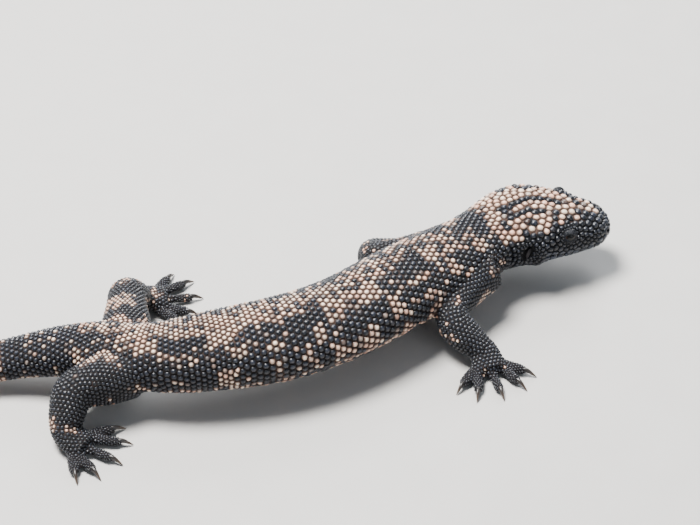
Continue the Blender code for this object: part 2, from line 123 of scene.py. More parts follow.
class Line:
    """A smooth line through points, read by the length along it."""

    def __init__(self, points: Array, ease: float = 0.0) -> None:
        """Fit the line.

        Args:
            points: corners that the line passes or eases round.
            ease: window over which its bends are evened out, twice.
        """
        points = np.asarray(points, float) - ORIGIN
        chords = np.r_[0, np.cumsum(np.linalg.norm(np.diff(points, axis=0), axis=1))]
        self.points = smooth(np.linspace(0, chords[-1], 40 * len(points)), chords, points)
        if ease > 0:
            self.points = self.eased(self.eased(self.points, ease), ease)
        self.lengths = np.r_[0, np.cumsum(np.linalg.norm(np.diff(self.points, axis=0), axis=1))]
        self.long = float(self.lengths[-1])

    @staticmethod
    def eased(points: Array, window: float) -> Array:
        """Each point moved to the mean of its neighbours in a window that shrinks at the ends."""
        count = len(points)
        step = np.linalg.norm(np.diff(points, axis=0), axis=1).mean()
        index = np.arange(count)
        half = np.minimum(np.minimum(index, count - 1 - index), round(window / step / 2))
        total = np.vstack((np.zeros(3), np.cumsum(points, axis=0)))
        return (total[index + half + 1] - total[index - half]) / (2 * half + 1)[:, None]

    def place(self, at: Array) -> Array:
        """The points at lengths along the line."""
        return np.stack([np.interp(at, self.lengths, self.points[:, k]) for k in range(3)], axis=-1)

    def frames(self, at: Array) -> tuple[Array, Array, Array, Array]:
        """Middle, direction of growing length, level left side and up, at lengths along the line."""
        at = np.asarray(at, float)
        along = self.place(at + 0.5) - self.place(at - 0.5)
        along = np.where((at < 1.0)[..., None], self.place(2.0) - self.place(0.0), along)
        along = unit(along)
        left = unit(np.cross((0.0, 0.0, 1.0), -along))
        return self.place(at), along, left, np.cross(-along, left)


def filleted(corners: Array, rounds: tuple[float, float], steps: int = 9) -> Array:
    """A bent line with each inner corner replaced by a circle's arc that touches both its sides.

    Args:
        corners: the bent line's points.
        rounds: radius for each inner corner.
        steps: points on an arc.

    Returns:
        The points of the rounded line.
    """
    corners = [np.asarray(c, float) for c in corners]
    line = [corners[0]]
    for before, corner, after, radius in zip(corners, corners[1:], corners[2:], rounds):
        back, ahead = unit(before - corner), unit(after - corner)
        half = 0.5 * math.acos(np.clip(back @ ahead, -1, 1))
        reach = min(radius / math.tan(half), 0.62 * np.linalg.norm(after - corner))
        middle = corner + unit(back + ahead) * reach / math.cos(half)
        start, end = corner + back * reach - middle, corner + ahead * reach - middle
        turn = math.pi - 2 * half
        t = np.linspace(0, 1, steps)[:, None]
        line.extend(middle + (np.sin((1 - t) * turn) * start + np.sin(t * turn) * end) / math.sin(turn))
    line.append(corners[-1])
    return np.array(line)


@dataclass
class Tube:
    """A form swept round a line: at each sample a superellipse section, taller or flatter on its lower half."""

    name: str
    at: Array
    centre: Array
    along: Array
    left: Array
    up: Array
    wide: Array
    top: Array
    low: Array
    power: Array

    def read(self, s: Array) -> tuple[Array, ...]:
        """Middle, left, up, half-width, height above, height below and power at lengths s."""
        vectors = [
            np.stack([np.interp(s, self.at, a[:, k]) for k in range(3)], axis=-1)
            for a in (self.centre, self.left, self.up)
        ]
        numbers = [np.interp(s, self.at, a) for a in (self.wide, self.top, self.low, self.power)]
        return (*vectors, *numbers)

    def surface(self, s: Array, angle: Array, grow: Array = 0.0) -> Array:
        """Points of the form: x = wide cos, z = high sin, each to the power 2 / p, about the line.

        Args:
            s: lengths along the line.
            angle: 0 on the left side, 90 degrees on top, in radians, of the same shape as s.
            grow: how far the section is larger all round.

        Returns:
            The points.
        """
        centre, left, up, wide, top, low, power = self.read(s)
        c, d = np.cos(angle), np.sin(angle)
        x = (wide + grow) * np.sign(c) * np.abs(c) ** (2 / power)
        z = (np.where(d >= 0, top, low) + grow) * np.sign(d) * np.abs(d) ** (2 / power)
        return centre + x[..., None] * left + z[..., None] * up

    def locate(self, points: Array, chunk: int = 8000) -> tuple[Array, Array, Array]:
        """Where points lie by this form: length, angle in degrees, and how many times its section away.

        Args:
            points: (n, 3).
            chunk: points worked on at once.

        Returns:
            Length along the line, angle from 0 to 360, and the section's scale that passes the point.
        """
        found = np.empty(len(points), int)
        square = (self.centre**2).sum(1)
        for start in range(0, len(points), chunk):
            part = points[start : start + chunk]
            found[start : start + chunk] = (square - 2 * part @ self.centre.T).argmin(1)
        offset = points - self.centre[found]
        x = (offset * self.left[found]).sum(1) / np.maximum(self.wide[found], 1.0)
        z = (offset * self.up[found]).sum(1)
        z = z / np.maximum(np.where(z >= 0, self.top[found], self.low[found]), 1.0)
        y = (offset * self.along[found]).sum(1) / np.maximum(self.wide[found], 1.0)
        p = self.power[found]
        angle = np.degrees(np.arctan2(np.sign(z) * np.abs(z) ** (p / 2), np.sign(x) * np.abs(x) ** (p / 2)))
        scale = (np.abs(x) ** p + np.abs(z) ** p + np.abs(y) ** p) ** (1 / p)
        return self.at[found], angle % 360.0, scale


# ---------------------------------------------------------------- meshes


def mesh_object(name: str, points: Array, faces: list[Array]) -> bpy.types.Object:
    """An object at the origin from arrays of points and faces.

    Args:
        name: the piece's name.
        points: places in millimetres, (n, 3).
        faces: arrays of point numbers, each with its own count of corners, (m, k).

    Returns:
        The object, linked to the scene.
    """
    mesh = bpy.data.meshes.new(name)
    faces = [np.asarray(f, np.int32) for f in faces if len(f)]
    corners = np.concatenate([f.ravel() for f in faces])
    totals = np.concatenate([np.full(len(f), f.shape[1], np.int32) for f in faces])
    mesh.vertices.add(len(points))
    mesh.vertices.foreach_set("co", (np.asarray(points) * MM).astype(np.float32).ravel())
    mesh.loops.add(len(corners))
    mesh.loops.foreach_set("vertex_index", corners)
    mesh.polygons.add(len(totals))
    mesh.polygons.foreach_set("loop_start", np.r_[0, np.cumsum(totals)[:-1]].astype(np.int32))
    mesh.update(calc_edges=True)
    mesh.validate()
    mesh.shade_smooth()
    made = bpy.data.objects.new(name, mesh)
    bpy.context.scene.collection.objects.link(made)
    return made


def swept_faces(rings: int, sides: int, start: int = 0) -> Array:
    """Four-sided faces between rings of points, closed round each ring."""
    row, k = np.meshgrid(np.arange(rings - 1), np.arange(sides), indexing="ij")
    one, after = row * sides + k, row * sides + (k + 1) % sides
    return np.stack((one, after, after + sides, one + sides), -1).reshape(-1, 4) + start


def closed_sweep(grid: Array, first: Array, last: Array) -> tuple[Array, list[Array]]:
    """Points and faces of a closed surface through rings, ended by a point at each end.

    Args:
        grid: (rings, sides, 3).
        first: point before the first ring.
        last: point after the last ring.

    Returns:
        The points, and the four-sided and three-sided faces.
    """
    rings, sides = grid.shape[:2]
    points = np.vstack((grid.reshape(-1, 3), first, last))
    k = np.arange(sides)
    after = (k + 1) % sides
    low = np.stack((after, k, np.full(sides, rings * sides)), 1)
    base = (rings - 1) * sides
    high = np.stack((base + k, base + after, np.full(sides, rings * sides + 1)), 1)
    return points, [swept_faces(rings, sides), np.vstack((low, high))]


def turned_out(points: Array, faces: list[Array]) -> list[Array]:
    """The faces in the order that makes the enclosed volume, the sum of a . (b x c) / 6, positive."""
    volume = 0.0
    for part in faces:
        a = points[part[:, 0]]
        for k in range(1, part.shape[1] - 1):
            b, c = points[part[:, k]], points[part[:, k + 1]]
            volume += (a * np.cross(b, c)).sum()
    return faces if volume > 0 else [part[:, ::-1] for part in faces]


def merged(pieces: list[tuple[Array, list[Array]]]) -> tuple[Array, list[Array]]:
    """Many closed surfaces as one set of points and faces."""
    points, quads, triangles, start = [], [], [], 0
    for vertices, faces in pieces:
        for part in turned_out(vertices, faces):
            (quads if part.shape[1] == 4 else triangles).append(part + start)
        points.append(vertices)
        start += len(vertices)
    return np.vstack(points), [np.vstack(quads), np.vstack(triangles)]


def set_attribute(made: bpy.types.Object, name: str, values: Array) -> None:
    """Store one number for each point of a mesh."""
    layer = made.data.attributes.new(name, "FLOAT", "POINT")
    layer.data.foreach_set("value", np.asarray(values, np.float32))


def set_uv(made: bpy.types.Object, name: str, values: Array) -> None:
    """Store a UV map from one (u, v) for each point of a mesh."""
    mesh = made.data
    corners = np.empty(len(mesh.loops), np.int32)
    mesh.loops.foreach_get("vertex_index", corners)
    mesh.uv_layers.new(name=name).data.foreach_set("uv", values[corners].astype(np.float32).ravel())


# ---------------------------------------------------------------- the animal's form


@dataclass
class Head:
    """Sizes of the head's features, with places given by length along the spine and rise above it."""

    end: float = 68.0
    mouth_at: tuple[float, ...] = (-3.0, 8.0, 18.0, 28.0, 37.0)
    mouth_rise: tuple[float, ...] = (-2.4, -2.8, -4.2, -5.0, -3.4)
    mouth_end: float = 38.0
    eye_at: float = 26.0
    eye_rise: float = 6.6
    eye_radius: float = 3.1
    eye_sunk: float = 1.5
    lid_ball: float = 4.2
    brow_half: tuple[float, float, float] = (6.0, 3.1, 2.1)
    nostril_at: float = 5.0
    nostril_rise: float = 3.4
    nostril_radius: float = 1.3
    ear_at: float = 59.0
    ear_rise: float = 0.5
    ear_half: tuple[float, float] = (2.1, 4.8)
    ear_lean: float = 22.0


@dataclass
class Form:
    """The spine, the limbs and the toes as tubes, with the sizes over the beads' tops."""

    spine_points: tuple[tuple[float, float, float], ...] = (
        (195.6, 81.5, 22.5), (172.0, 77.2, 24.7), (146.0, 75.6, 26.6), (127.0, 60.8, 26.6),
        (108.0, 44.6, 26.8), (82.0, 23.3, 26.8), (52.0, -0.6, 26.4), (22.0, -14.7, 26.2),
        (-10.0, -22.6, 26.0), (-42.0, -26.8, 24.5), (-66.0, -16.8, 22.0), (-90.0, -14.8, 18.0),
        (-118.0, -16.0, 12.8), (-150.0, -23.6, 9.5), (-178.0, -37.0, 7.8), (-199.0, -54.0, 5.4),
    )
    spine_ease: float = 26.0
    body_at: tuple[float, ...] = (
        0, 10, 22, 35, 46, 56, 67, 80, 97, 128, 168, 214, 245, 270, 290, 315, 342, 380, 410, 428, 450,
    )
    body_wide: tuple[float, ...] = (
        13.4, 15, 19.4, 23.6, 26.6, 24.4, 21.2, 20, 21.6, 24, 24.6, 24.3, 21.8, 18.6, 16.4, 13.8, 11.2,
        11.6, 10.2, 8.5, 7,
    )
    body_top: tuple[float, ...] = (
        8, 10, 12.6, 14.6, 15.8, 15.2, 14, 14.3, 16.5, 18.2, 18, 17.7, 16.4, 14.6, 13.4, 11.4, 9.5, 9.4,
        8.3, 7, 6,
    )
    body_low: tuple[float, ...] = (
        8.5, 10, 11.8, 13.2, 14.8, 15.2, 15.8, 15.6, 16.8, 18.2, 18, 18, 16.8, 15, 13.4, 11.4, 9.7, 9.6,
        8.4, 7, 6,
    )
    boxy_at: tuple[float, ...] = (0, 40, 70, 300)
    boxy: tuple[float, ...] = (2.35, 2.6, 2.3, 2.15)
    snout_round: float = 12.0
    tail_round: float = 15.0
    limbs: dict[str, tuple] = field(
        default_factory=lambda: {
            "foreleg_right": ((126.0, 42.0, 23.0), (106.5, 8.5, 20.0), (125.5, -3.5, 8.0), (129.0, -14.0, 4.2)),
            "foreleg_left": ((104.0, 57.0, 24.0), (62.0, 57.0, 17.0), (79.0, 77.5, 7.5), (91.0, 78.2, 4.2)),
            "hindleg_right": ((-49.0, -32.0, 21.0), (-77.0, -45.0, 20.5), (-81.0, -62.0, 7.5), (-69.0, -68.0, 4.2)),
            "hindleg_left": ((-53.0, -13.0, 21.0), (-56.0, 26.0, 20.0), (-50.5, 38.5, 7.5), (-38.0, 41.5, 4.2)),
        }
    )
    bend_round: tuple[float, float] = (10.0, 8.0)
    limb_at: tuple[float, ...] = (0.0, 0.22, 0.42, 0.55, 0.68, 0.8, 0.9, 1.0)
    fore_wide: tuple[float, ...] = (12.5, 9.6, 8.3, 8.6, 8.9, 7.5, 8.2, 8.6)
    fore_high: tuple[float, ...] = (12.5, 10.2, 8.8, 8.8, 8.2, 6.2, 4.9, 4.3)
    hind_wide: tuple[float, ...] = (13.0, 12.5, 10.4, 9.8, 8.8, 7.4, 8.4, 8.6)
    hind_high: tuple[float, ...] = (13.5, 13.0, 10.6, 9.8, 8.6, 6.4, 4.9, 4.3)
    toe_fan: tuple[float, ...] = (-50.0, -25.0, 0.0, 25.0, 50.0)
    fore_toes: tuple[float, ...] = (9.5, 12.5, 13.5, 12.5, 10.0)
    hind_toes: tuple[float, ...] = (9.0, 12.5, 14.5, 14.5, 11.0)
    toe_radius: float = 2.7
    toe_root: float = 5.5
    claw_long: float = 6.5
    claw_radius: float = 1.45
    head: Head = field(default_factory=Head)

    def __post_init__(self) -> None:
        """Lay the lines and make the tubes."""
        self.spine = Line(self.spine_points, self.spine_ease)
        self.tubes: list[Tube] = [self.body_tube()]
        self.claws: dict[str, list[tuple[Array, Array]]] = {}
        for name, corners in self.limbs.items():
            self.add_limb(name, corners)

    def body_sizes(self, s: Array) -> tuple[Array, Array, Array, Array]:
        """Half-width, height above and below and power, made blunt by a rounding at snout and tail tip."""
        front = np.clip(s / self.snout_round, 0, 1)
        back = np.clip((self.spine.long - s) / self.tail_round, 0, 1)
        blunt = (1 - (1 - front) ** 2.3) ** (1 / 2.1) * (1 - (1 - back) ** 2) ** 0.5
        keys = (self.body_wide, self.body_top, self.body_low)
        sizes = [smooth(s, self.body_at, key) * blunt for key in keys]
        return (*sizes, smooth(s, self.boxy_at, self.boxy))

    def body_tube(self) -> Tube:
        """The head, trunk and tail as one tube round the spine."""
        long = self.spine.long
        at = np.r_[0.05, 0.3, 0.7, np.arange(1.2, long - 2, 0.8), long - 1.4, long - 0.8, long - 0.3]
        return Tube("body", at, *self.spine.frames(at), *self.body_sizes(at))

    def add_limb(self, name: str, corners: tuple) -> None:
        """One limb's tube, its five toes' tubes and the places of its claws.

        Args:
            name: foreleg or hindleg, and the side.
            corners: joint in the body, bend, wrist and front of the palm.
        """
        fore = name.startswith("fore")
        wide, high = (self.fore_wide, self.fore_high) if fore else (self.hind_wide, self.hind_high)
        line = Line(filleted(np.array(corners), self.bend_round))
        at = np.arange(0.0, line.long + 0.01, 0.8)
        share = at / line.long
        half, rise = smooth(share, self.limb_at, wide), smooth(share, self.limb_at, high)
        self.tubes.append(Tube(name, at, *line.frames(at), half, rise, rise, np.full(len(at), 2.2)))
        front, along, _, _ = line.frames(np.array(line.long - 1.0))
        ahead = unit(along * np.array((1, 1, 0)))
        root = front * np.array((1, 1, 0)) - ahead * self.toe_root
        across = float(smooth(0.95, self.limb_at, wide)) - self.toe_radius
        sideways = np.cross((0, 0, 1.0), ahead)
        self.claws[name] = []
        for number, (angle, long) in enumerate(zip(self.toe_fan, self.fore_toes if fore else self.hind_toes)):
            a = math.radians(angle)
            direction = ahead * math.cos(a) + sideways * math.sin(a)
            start = root + sideways * across * math.sin(a * 1.5) * 0.9
            self.add_toe(name, number, start, unit(direction), long)

    def add_toe(self, limb: str, number: int, root: Array, ahead: Array, long: float) -> None:
        """A toe's tube, which arches a little, and its claw's start and direction."""
        reach = self.toe_root + long
        share = np.array((0.0, 0.5, 0.92, 1.0, 1.07))
        rise = np.array((4.0, 3.3, 2.6, 2.5, 2.3))
        radius = self.toe_radius * np.array((0.95, 1.0, 0.9, 0.74, 0.3))
        points = root + ahead * (reach * share)[:, None] + np.array((0, 0, 1.0)) * rise[:, None]
        line = Line(points + ORIGIN)
        at = np.arange(0.0, line.long, 0.5)
        size = smooth(at / line.long, share / share[-1], radius)
        tube = Tube(f"{limb}_toe_{number}", at, *line.frames(at), size, size * 0.95, size, np.full(len(at), 2.1))
        self.tubes.append(tube)
        self.claws[limb].append((root + ahead * (reach - 0.8) + np.array((0, 0, 2.9)), ahead))

    def on_head(self, s: Array, side: float, rise: Array, out: float = 0.0) -> Array:
        """Points on the head: x = wide (1 - (rise / high) ** p) ** (1 / p) to the side, at a rise above the spine.

        Args:
            s: lengths along the spine.
            side: 1 for the left side and -1 for the right.
            rise: heights above the spine.
            out: how far outside the form.

        Returns:
            The points.
        """
        s, rise = np.asarray(s, float), np.asarray(rise, float)
        centre, _, left, up = self.spine.frames(s)
        wide, top, low, power = self.body_sizes(s)
        high = np.where(rise >= 0, top, low)
        lateral = wide * (1 - np.minimum(0.999, np.abs(rise / high)) ** power) ** (1 / power)
        return centre + left * (side * (lateral + out))[..., None] + up * rise[..., None]

    def head_axes(self, s: float) -> tuple[Array, Array, Array]:
        """Directions back, left and up at a length along the spine."""
        _, along, left, up = self.spine.frames(np.array(s))
        return along, left, up

    def eye_centre(self, side: float) -> Array:
        """The middle of an eyeball."""
        head = self.head
        return self.on_head(head.eye_at, side, head.eye_rise, -head.eye_sunk)

    def locate(self, points: Array) -> tuple[Array, Array, Array, Array]:
        """The tube that each point belongs to, its length and angle on it, and the runner-up's scale.

        Args:
            points: places, (n, 3).

        Returns:
            Tube numbers, lengths, angles in degrees, and how far the second nearest tube is, in sections.
        """
        found = [tube.locate(points) for tube in self.tubes]
        scales = np.stack([f[2] for f in found])
        best = scales.argmin(0)
        order = np.sort(scales, axis=0)
        rows = np.arange(len(points))
        s = np.stack([f[0] for f in found])[best, rows]
        angle = np.stack([f[1] for f in found])[best, rows]
        return best, s, angle, order[1]


# ---------------------------------------------------------------- markings


@dataclass(frozen=True)
class Patch:
    """One blotch of the body's markings, by its span along the spine and round the body in degrees."""

    start: float
    end: float
    low: float
    high: float
    amount: float


class Markings:
    """Black and salmon markings, the same for the skin and its beads."""

    patches: tuple[Patch, ...] = (
        # head
        Patch(-5, 8, -20, 200, -1.3), Patch(8, 35, 126, 225, -1.0), Patch(35, 60, 142, 225, -1.2),
        Patch(60, 74, 153, 225, -1.2), Patch(-5, 66, 196, 344, -0.9), Patch(8, 24, 60, 126, -0.08),
        Patch(24, 60, 58, 79, 0.45), Patch(30, 52, 80, 87, -0.90), Patch(20, 60, 88, 97, 0.45),
        Patch(38, 57, 98, 105, -0.85), Patch(36, 46, 107, 139, 0.80), Patch(46, 51, 103, 111, 0.60),
        Patch(46, 53, 113, 128, -1.0), Patch(53, 62, 107, 127, 0.80), Patch(46, 55, 129, 141, 0.90),
        Patch(41, 46, 130, 146, -0.9), Patch(55, 60, 130, 150, -0.8), Patch(60, 74, 124, 152, 0.90),
        Patch(61, 71, 80, 104, 0.60), Patch(56, 62, 82, 104, -0.60), Patch(62, 67, 106, 122, -0.6),
        Patch(7, 17, 94, 126, -0.45),
        # neck and chest
        Patch(72, 88, 40, 86, -0.7), Patch(90, 104, 122, 145, -0.7),
        Patch(74, 81, 86, 205, -0.9), Patch(82, 90, 119, 137, 0.85), Patch(81, 92, 139, 152, -0.8),
        Patch(75, 82, 140, 158, 0.45), Patch(82, 91, 156, 200, 0.85), Patch(91, 96, 156, 210, -0.9),
        Patch(95, 103, 154, 205, 0.80), Patch(103, 113, 148, 200, -0.9), Patch(104, 112, 124, 147, 0.2),
        Patch(92, 110, 86, 106, -0.25), Patch(110, 119, 89, 113, 0.60), Patch(119, 135, 91, 120, -0.8),
        Patch(120, 138, 120, 132, 0.60), Patch(122, 144, 134, 147, -0.8), Patch(125, 133, 148, 165, 0.55),
        Patch(130, 141, 160, 190, -1.0), Patch(123, 130, 168, 205, 0.40), Patch(141, 147, 168, 205, 0.6),
        # belly and loin
        Patch(139, 151, 89, 123, -0.2), Patch(151, 160, 100, 121, 0.45), Patch(147, 152, 124, 152, 0.40),
        Patch(152, 168, 126, 149, -0.7), Patch(151, 160, 150, 180, -0.8), Patch(162, 170, 150, 205, 0.55),
        Patch(169, 178, 90, 110, 0.40), Patch(174, 182, 114, 132, 0.50), Patch(183, 201, 104, 127, -0.9),
        Patch(168, 183, 133, 150, -0.7), Patch(184, 191, 128, 151, 0.40), Patch(191, 203, 128, 146, -0.6),
        Patch(177, 184, 150, 195, 0.60), Patch(184, 192, 153, 183, -1.0), Patch(192, 198, 146, 176, 0.40),
        Patch(199, 205, 150, 190, -0.6), Patch(204, 222, 103, 126, -0.9), Patch(205, 213, 127, 142, 0.25),
        Patch(212, 223, 146, 195, -0.8), Patch(205, 211, 150, 205, 0.40), Patch(222, 239, 94, 124, 0.35),
        Patch(222, 231, 128, 145, 0.25),
        # rump and tail
        Patch(223, 239, 146, 160, -0.5), Patch(228, 238, 161, 205, 0.55), Patch(239, 262, 100, 126, -0.9),
        Patch(250, 261, 126, 138, 0.55), Patch(238, 268, 139, 195, -0.7), Patch(260, 277, 98, 126, 0.35),
        Patch(266, 286, 138, 200, -0.8), Patch(288, 306, 92, 128, -0.5), Patch(296, 307, 122, 160, 0.5),
        Patch(304, 342, 62, 205, -0.75), Patch(342, 360, 0, 360, 0.45), Patch(361, 383, 0, 360, -1.0),
        Patch(384, 400, 0, 360, 0.50), Patch(401, 419, 0, 360, -1.0), Patch(420, 433, 0, 360, 0.50),
        Patch(434, 475, 0, 360, -1.0),
    )

    def body(self, s: Array, angle: Array, points: Array) -> Array:
        """How pale the body is: a base, plus each patch's soft box, with edges moved by noise.

        Args:
            s: lengths along the spine.
            angle: degrees round the body.
            points: the places themselves, for the noise.

        Returns:
            Below 0 is black, above 1 is salmon, and speckled between.
        """
        far = (angle < 60) | (angle > 292)
        s = np.where(far, s + 7 * np.sin(s / 29.0), s)
        angle = np.where(far, (180 - angle) % 360, angle)
        s = s + 1.5 * value_noise(points, 8.0, 3)
        angle = angle + 3.0 * value_noise(points, 8.0, 5)
        side = ramp(angle, 92, 122)
        value = 0.56 - 0.24 * side * ramp(s, 70, 80) + 0.16 * ramp(s, 175, 205) * ramp(s, 306, 290) * (1 - side)
        value = value + 0.22 * ramp(angle, 200, 235) * ramp(s, 70, 90)
        value = value + 0.12 * value_noise(points, 13.0, 7)
        for patch in self.patches:
            box = ramp(s, patch.start - 1.2, patch.start + 1.2) * ramp(s, patch.end + 1.2, patch.end - 1.2)
            box = box * ramp(angle, patch.low - 2.5, patch.low + 2.5) * ramp(angle, patch.high + 2.5, patch.high - 2.5)
            value = value + patch.amount * box
        broken = ramp(s, 66, 80)
        return np.clip(value, 0.14 * broken, 1 - 0.22 * broken)

    def limb(self, s: Array, points: Array, name: str) -> Array:
        """How pale a limb is: black with a few broken salmon spots of noise, more of them near the body.

        Args:
            s: lengths along the limb.
            points: the places.
            name: the limb's name.

        Returns:
            Below 0 is black, above 1 is salmon.
        """
        spots = value_noise(points, 7.0, 11) + 0.5 * value_noise(points, 3.2, 13)
        lift = 0.0 if name.startswith("hind") else -0.08
        lift = lift - (0.35 if "toe" in name else 0.0)
        return np.clip(0.5 + 1.1 * (spots - 0.56 + lift + 0.45 * ramp(s, 14, 2)), 0.10, 0.74)

    def read(self, form: Form, tube: Array, s: Array, angle: Array, points: Array) -> Array:
        """How pale each place is.

        Args:
            form: the animal's form.
            tube: number of the tube each place is on.
            s: lengths along the tubes.
            angle: degrees round the tubes.
            points: the places.

        Returns:
            Values from below 0, black, to above 1, salmon.
        """
        value = self.body(s, angle, points)
        for number, made in enumerate(form.tubes[1:], start=1):
            on = tube == number
            if on.any():
                value[on] = self.limb(s[on] + (60 if "toe" in made.name else 0), points[on], made.name)
        return value


# ---------------------------------------------------------------- finishes


def socket(group: bpy.types.NodeTree, name: str, kind: str, output: bool, value: float | None = None) -> None:
    """Add a named socket to a node group."""
    made = group.interface.new_socket(name=name, in_out="OUTPUT" if output else "INPUT", socket_type=kind)
    if value is not None:
        made.default_value = value


def node(tree: bpy.types.NodeTree, kind: str, **values: object) -> bpy.types.Node:
    """Add a node and set its properties."""
    made = tree.nodes.new(kind)
    for name, value in values.items():
        setattr(made, name, value)
    return made


def grain_group() -> bpy.types.NodeTree:
    """Fine pits and wrinkles: noise at the given size and at a third of it, as a height and a mask."""
    found = bpy.data.node_groups.get("fine_grain")
    if found is not None:
        return found
    group = bpy.data.node_groups.new("fine_grain", "ShaderNodeTree")
    socket(group, "Size", "NodeSocketFloat", False, 900.0)
    socket(group, "Wrinkle", "NodeSocketFloat", False, 0.5)
    socket(group, "Height", "NodeSocketFloat", True)
    socket(group, "Mask", "NodeSocketFloat", True)
    start, end = node(group, "NodeGroupInput"), node(group, "NodeGroupOutput")
    place = node(group, "ShaderNodeTexCoord")
    broad = node(group, "ShaderNodeTexNoise")
    broad.inputs["Detail"].default_value = 3.0
    cells = node(group, "ShaderNodeTexVoronoi", feature="F1")
    bigger = node(group, "ShaderNodeMath", operation="MULTIPLY")
    bigger.inputs[1].default_value = 2.6
    share = node(group, "ShaderNodeMath", operation="MULTIPLY")
    total = node(group, "ShaderNodeMath", operation="ADD")
    link = group.links.new
    link(place.outputs["Object"], broad.inputs["Vector"])
    link(place.outputs["Object"], cells.inputs["Vector"])
    link(start.outputs["Size"], broad.inputs["Scale"])
    link(start.outputs["Size"], bigger.inputs[0])
    link(bigger.outputs[0], cells.inputs["Scale"])
    link(cells.outputs["Distance"], share.inputs[0])
    link(start.outputs["Wrinkle"], share.inputs[1])
    link(broad.outputs["Fac"], total.inputs[0])
    link(share.outputs[0], total.inputs[1])
    link(total.outputs[0], end.inputs["Height"])
    link(broad.outputs["Fac"], end.inputs["Mask"])
    return group


def new_material(name: str) -> tuple[bpy.types.Material, bpy.types.NodeTree, bpy.types.Node]:
    """A material with its node tree and its Principled shader."""
    material = bpy.data.materials.new(name)
    material.use_nodes = True
    tree = material.node_tree
    return material, tree, tree.nodes["Principled BSDF"]


def mix(tree: bpy.types.NodeTree, factor: object, one: object, two: object, mode: str = "MIX") -> object:
    """A colour mixed from two, each a socket or a colour, by a socket or a number."""
    made = node(tree, "ShaderNodeMix", data_type="RGBA", blend_type=mode)
    for target, value in ((made.inputs[0], factor), (made.inputs[6], one), (made.inputs[7], two)):
        if isinstance(value, bpy.types.NodeSocket):
            tree.links.new(value, target)
        else:
            target.default_value = value if isinstance(value, float) else (*value, 1.0)
    return made.outputs[2]


def attribute(tree: bpy.types.NodeTree, name: str) -> object:
    """The mesh's own number of that name, as a socket."""
    return node(tree, "ShaderNodeAttribute", attribute_name=name).outputs["Fac"]


def spread_range(tree: bpy.types.NodeTree, value: object, low: float, high: float, to_low: float, to_high: float) -> object:
    """A socket moved from one range to another and held at its ends."""
    made = node(tree, "ShaderNodeMapRange")
    tree.links.new(value, made.inputs["Value"])
    for name, number in (("From Min", low), ("From Max", high), ("To Min", to_low), ("To Max", to_high)):
        made.inputs[name].default_value = number
    return made.outputs["Result"]


def grain(tree: bpy.types.NodeTree, size: float, wrinkle: float) -> bpy.types.Node:
    """The shared fine grain, placed in a material with its own values."""
    made = node(tree, "ShaderNodeGroup", node_tree=grain_group())
    made.inputs["Size"].default_value = size
    made.inputs["Wrinkle"].default_value = wrinkle
    return made


def bumped(tree: bpy.types.NodeTree, shader: bpy.types.Node, height: object, strength: float, depth: float) -> None:
    """Feed a height to the shader's normal, with the depth in metres."""
    made = node(tree, "ShaderNodeBump")
    made.inputs["Strength"].default_value = strength
    made.inputs["Distance"].default_value = depth
    tree.links.new(height, made.inputs["Height"])
    tree.links.new(made.outputs["Normal"], shader.inputs["Normal"])


@dataclass(frozen=True)
class BeadFinish:
    """Horny bead: satin salmon or glossy blue-black, browner down its sides and dull and dark at its rim, both painted
    shade.
    """

    name: str = "bead_horn"
    salmon: tuple[float, float, float] = (0.82, 0.46, 0.33)
    cream: tuple[float, float, float] = (0.98, 0.85, 0.68)
    brown: tuple[float, float, float] = (0.34, 0.19, 0.13)
    black: tuple[float, float, float] = (0.006, 0.007, 0.010)
    slate: tuple[float, float, float] = (0.017, 0.020, 0.031)
    # painted shade: the dark brown that the rims of pale beads turn to
    crevice_shade: tuple[float, float, float] = (0.075, 0.045, 0.034)
    shine: float = 0.5

    def material(self) -> bpy.types.Material:
        """Build the material from the bead's own numbers pale, tone and crown."""
        material, tree, shader = new_material(self.name)
        link = tree.links.new
        fine = grain(tree, 1100.0, 0.35)
        tone, pale, crown = (attribute(tree, n) for n in ("tone", "pale", "crown"))
        light = mix(tree, tone, self.salmon, self.cream)
        spots = spread_range(tree, fine.outputs["Mask"], 0.35, 0.62, 0.72, 1.0)
        light = mix(tree, spots, self.salmon, light)
        # painted shade: the pale colour turns brown down the bead's sides, from crown 0.95 down to 0.35
        light = mix(tree, spread_range(tree, crown, 0.35, 0.95, 0.85, 0.0), light, self.brown)
        dark = mix(tree, tone, self.black, self.slate)
        colour = mix(tree, pale, dark, light)
        # painted shade: below crown 0.68 the bead darkens towards its rim, to black on dark beads and to a dark brown
        # on pale ones
        rim = spread_range(tree, crown, 0.16, 0.68, 0.92, 0.0)
        painted_rim_shade = mix(tree, pale, self.black, self.crevice_shade)
        link(mix(tree, rim, colour, painted_rim_shade), shader.inputs["Base Color"])
        link(spread_range(tree, fine.outputs["Mask"], 0.3, 0.7, 0.22, 0.42), shader.inputs["Roughness"])
        shader.inputs["Specular IOR Level"].default_value = self.shine
        bumped(tree, shader, fine.outputs["Height"], 0.55, 0.00012)
        return material


@dataclass(frozen=True)
class SkinFinish:
    """Bare skin between the beads: matt, wrinkled, near black, and a very dark brown under pale markings."""

    name: str = "skin_between_beads"
    black: tuple[float, float, float] = (0.006, 0.006, 0.007)
    brown: tuple[float, float, float] = (0.085, 0.050, 0.038)

    def material(self) -> bpy.types.Material:
        """Build the material from the skin's own number pale."""
        material, tree, shader = new_material(self.name)
        fine = grain(tree, 1500.0, 0.8)
        tinted = mix(tree, attribute(tree, "pale"), self.black, self.brown)
        mottled = spread_range(tree, fine.outputs["Mask"], 0.3, 0.7, 0.0, 0.5)
        tree.links.new(mix(tree, mottled, tinted, self.black), shader.inputs["Base Color"])
        tree.links.new(spread_range(tree, fine.outputs["Mask"], 0.3, 0.7, 0.62, 0.85), shader.inputs["Roughness"])
        shader.inputs["Specular IOR Level"].default_value = 0.15
        bumped(tree, shader, fine.outputs["Height"], 0.8, 0.0002)
        return material


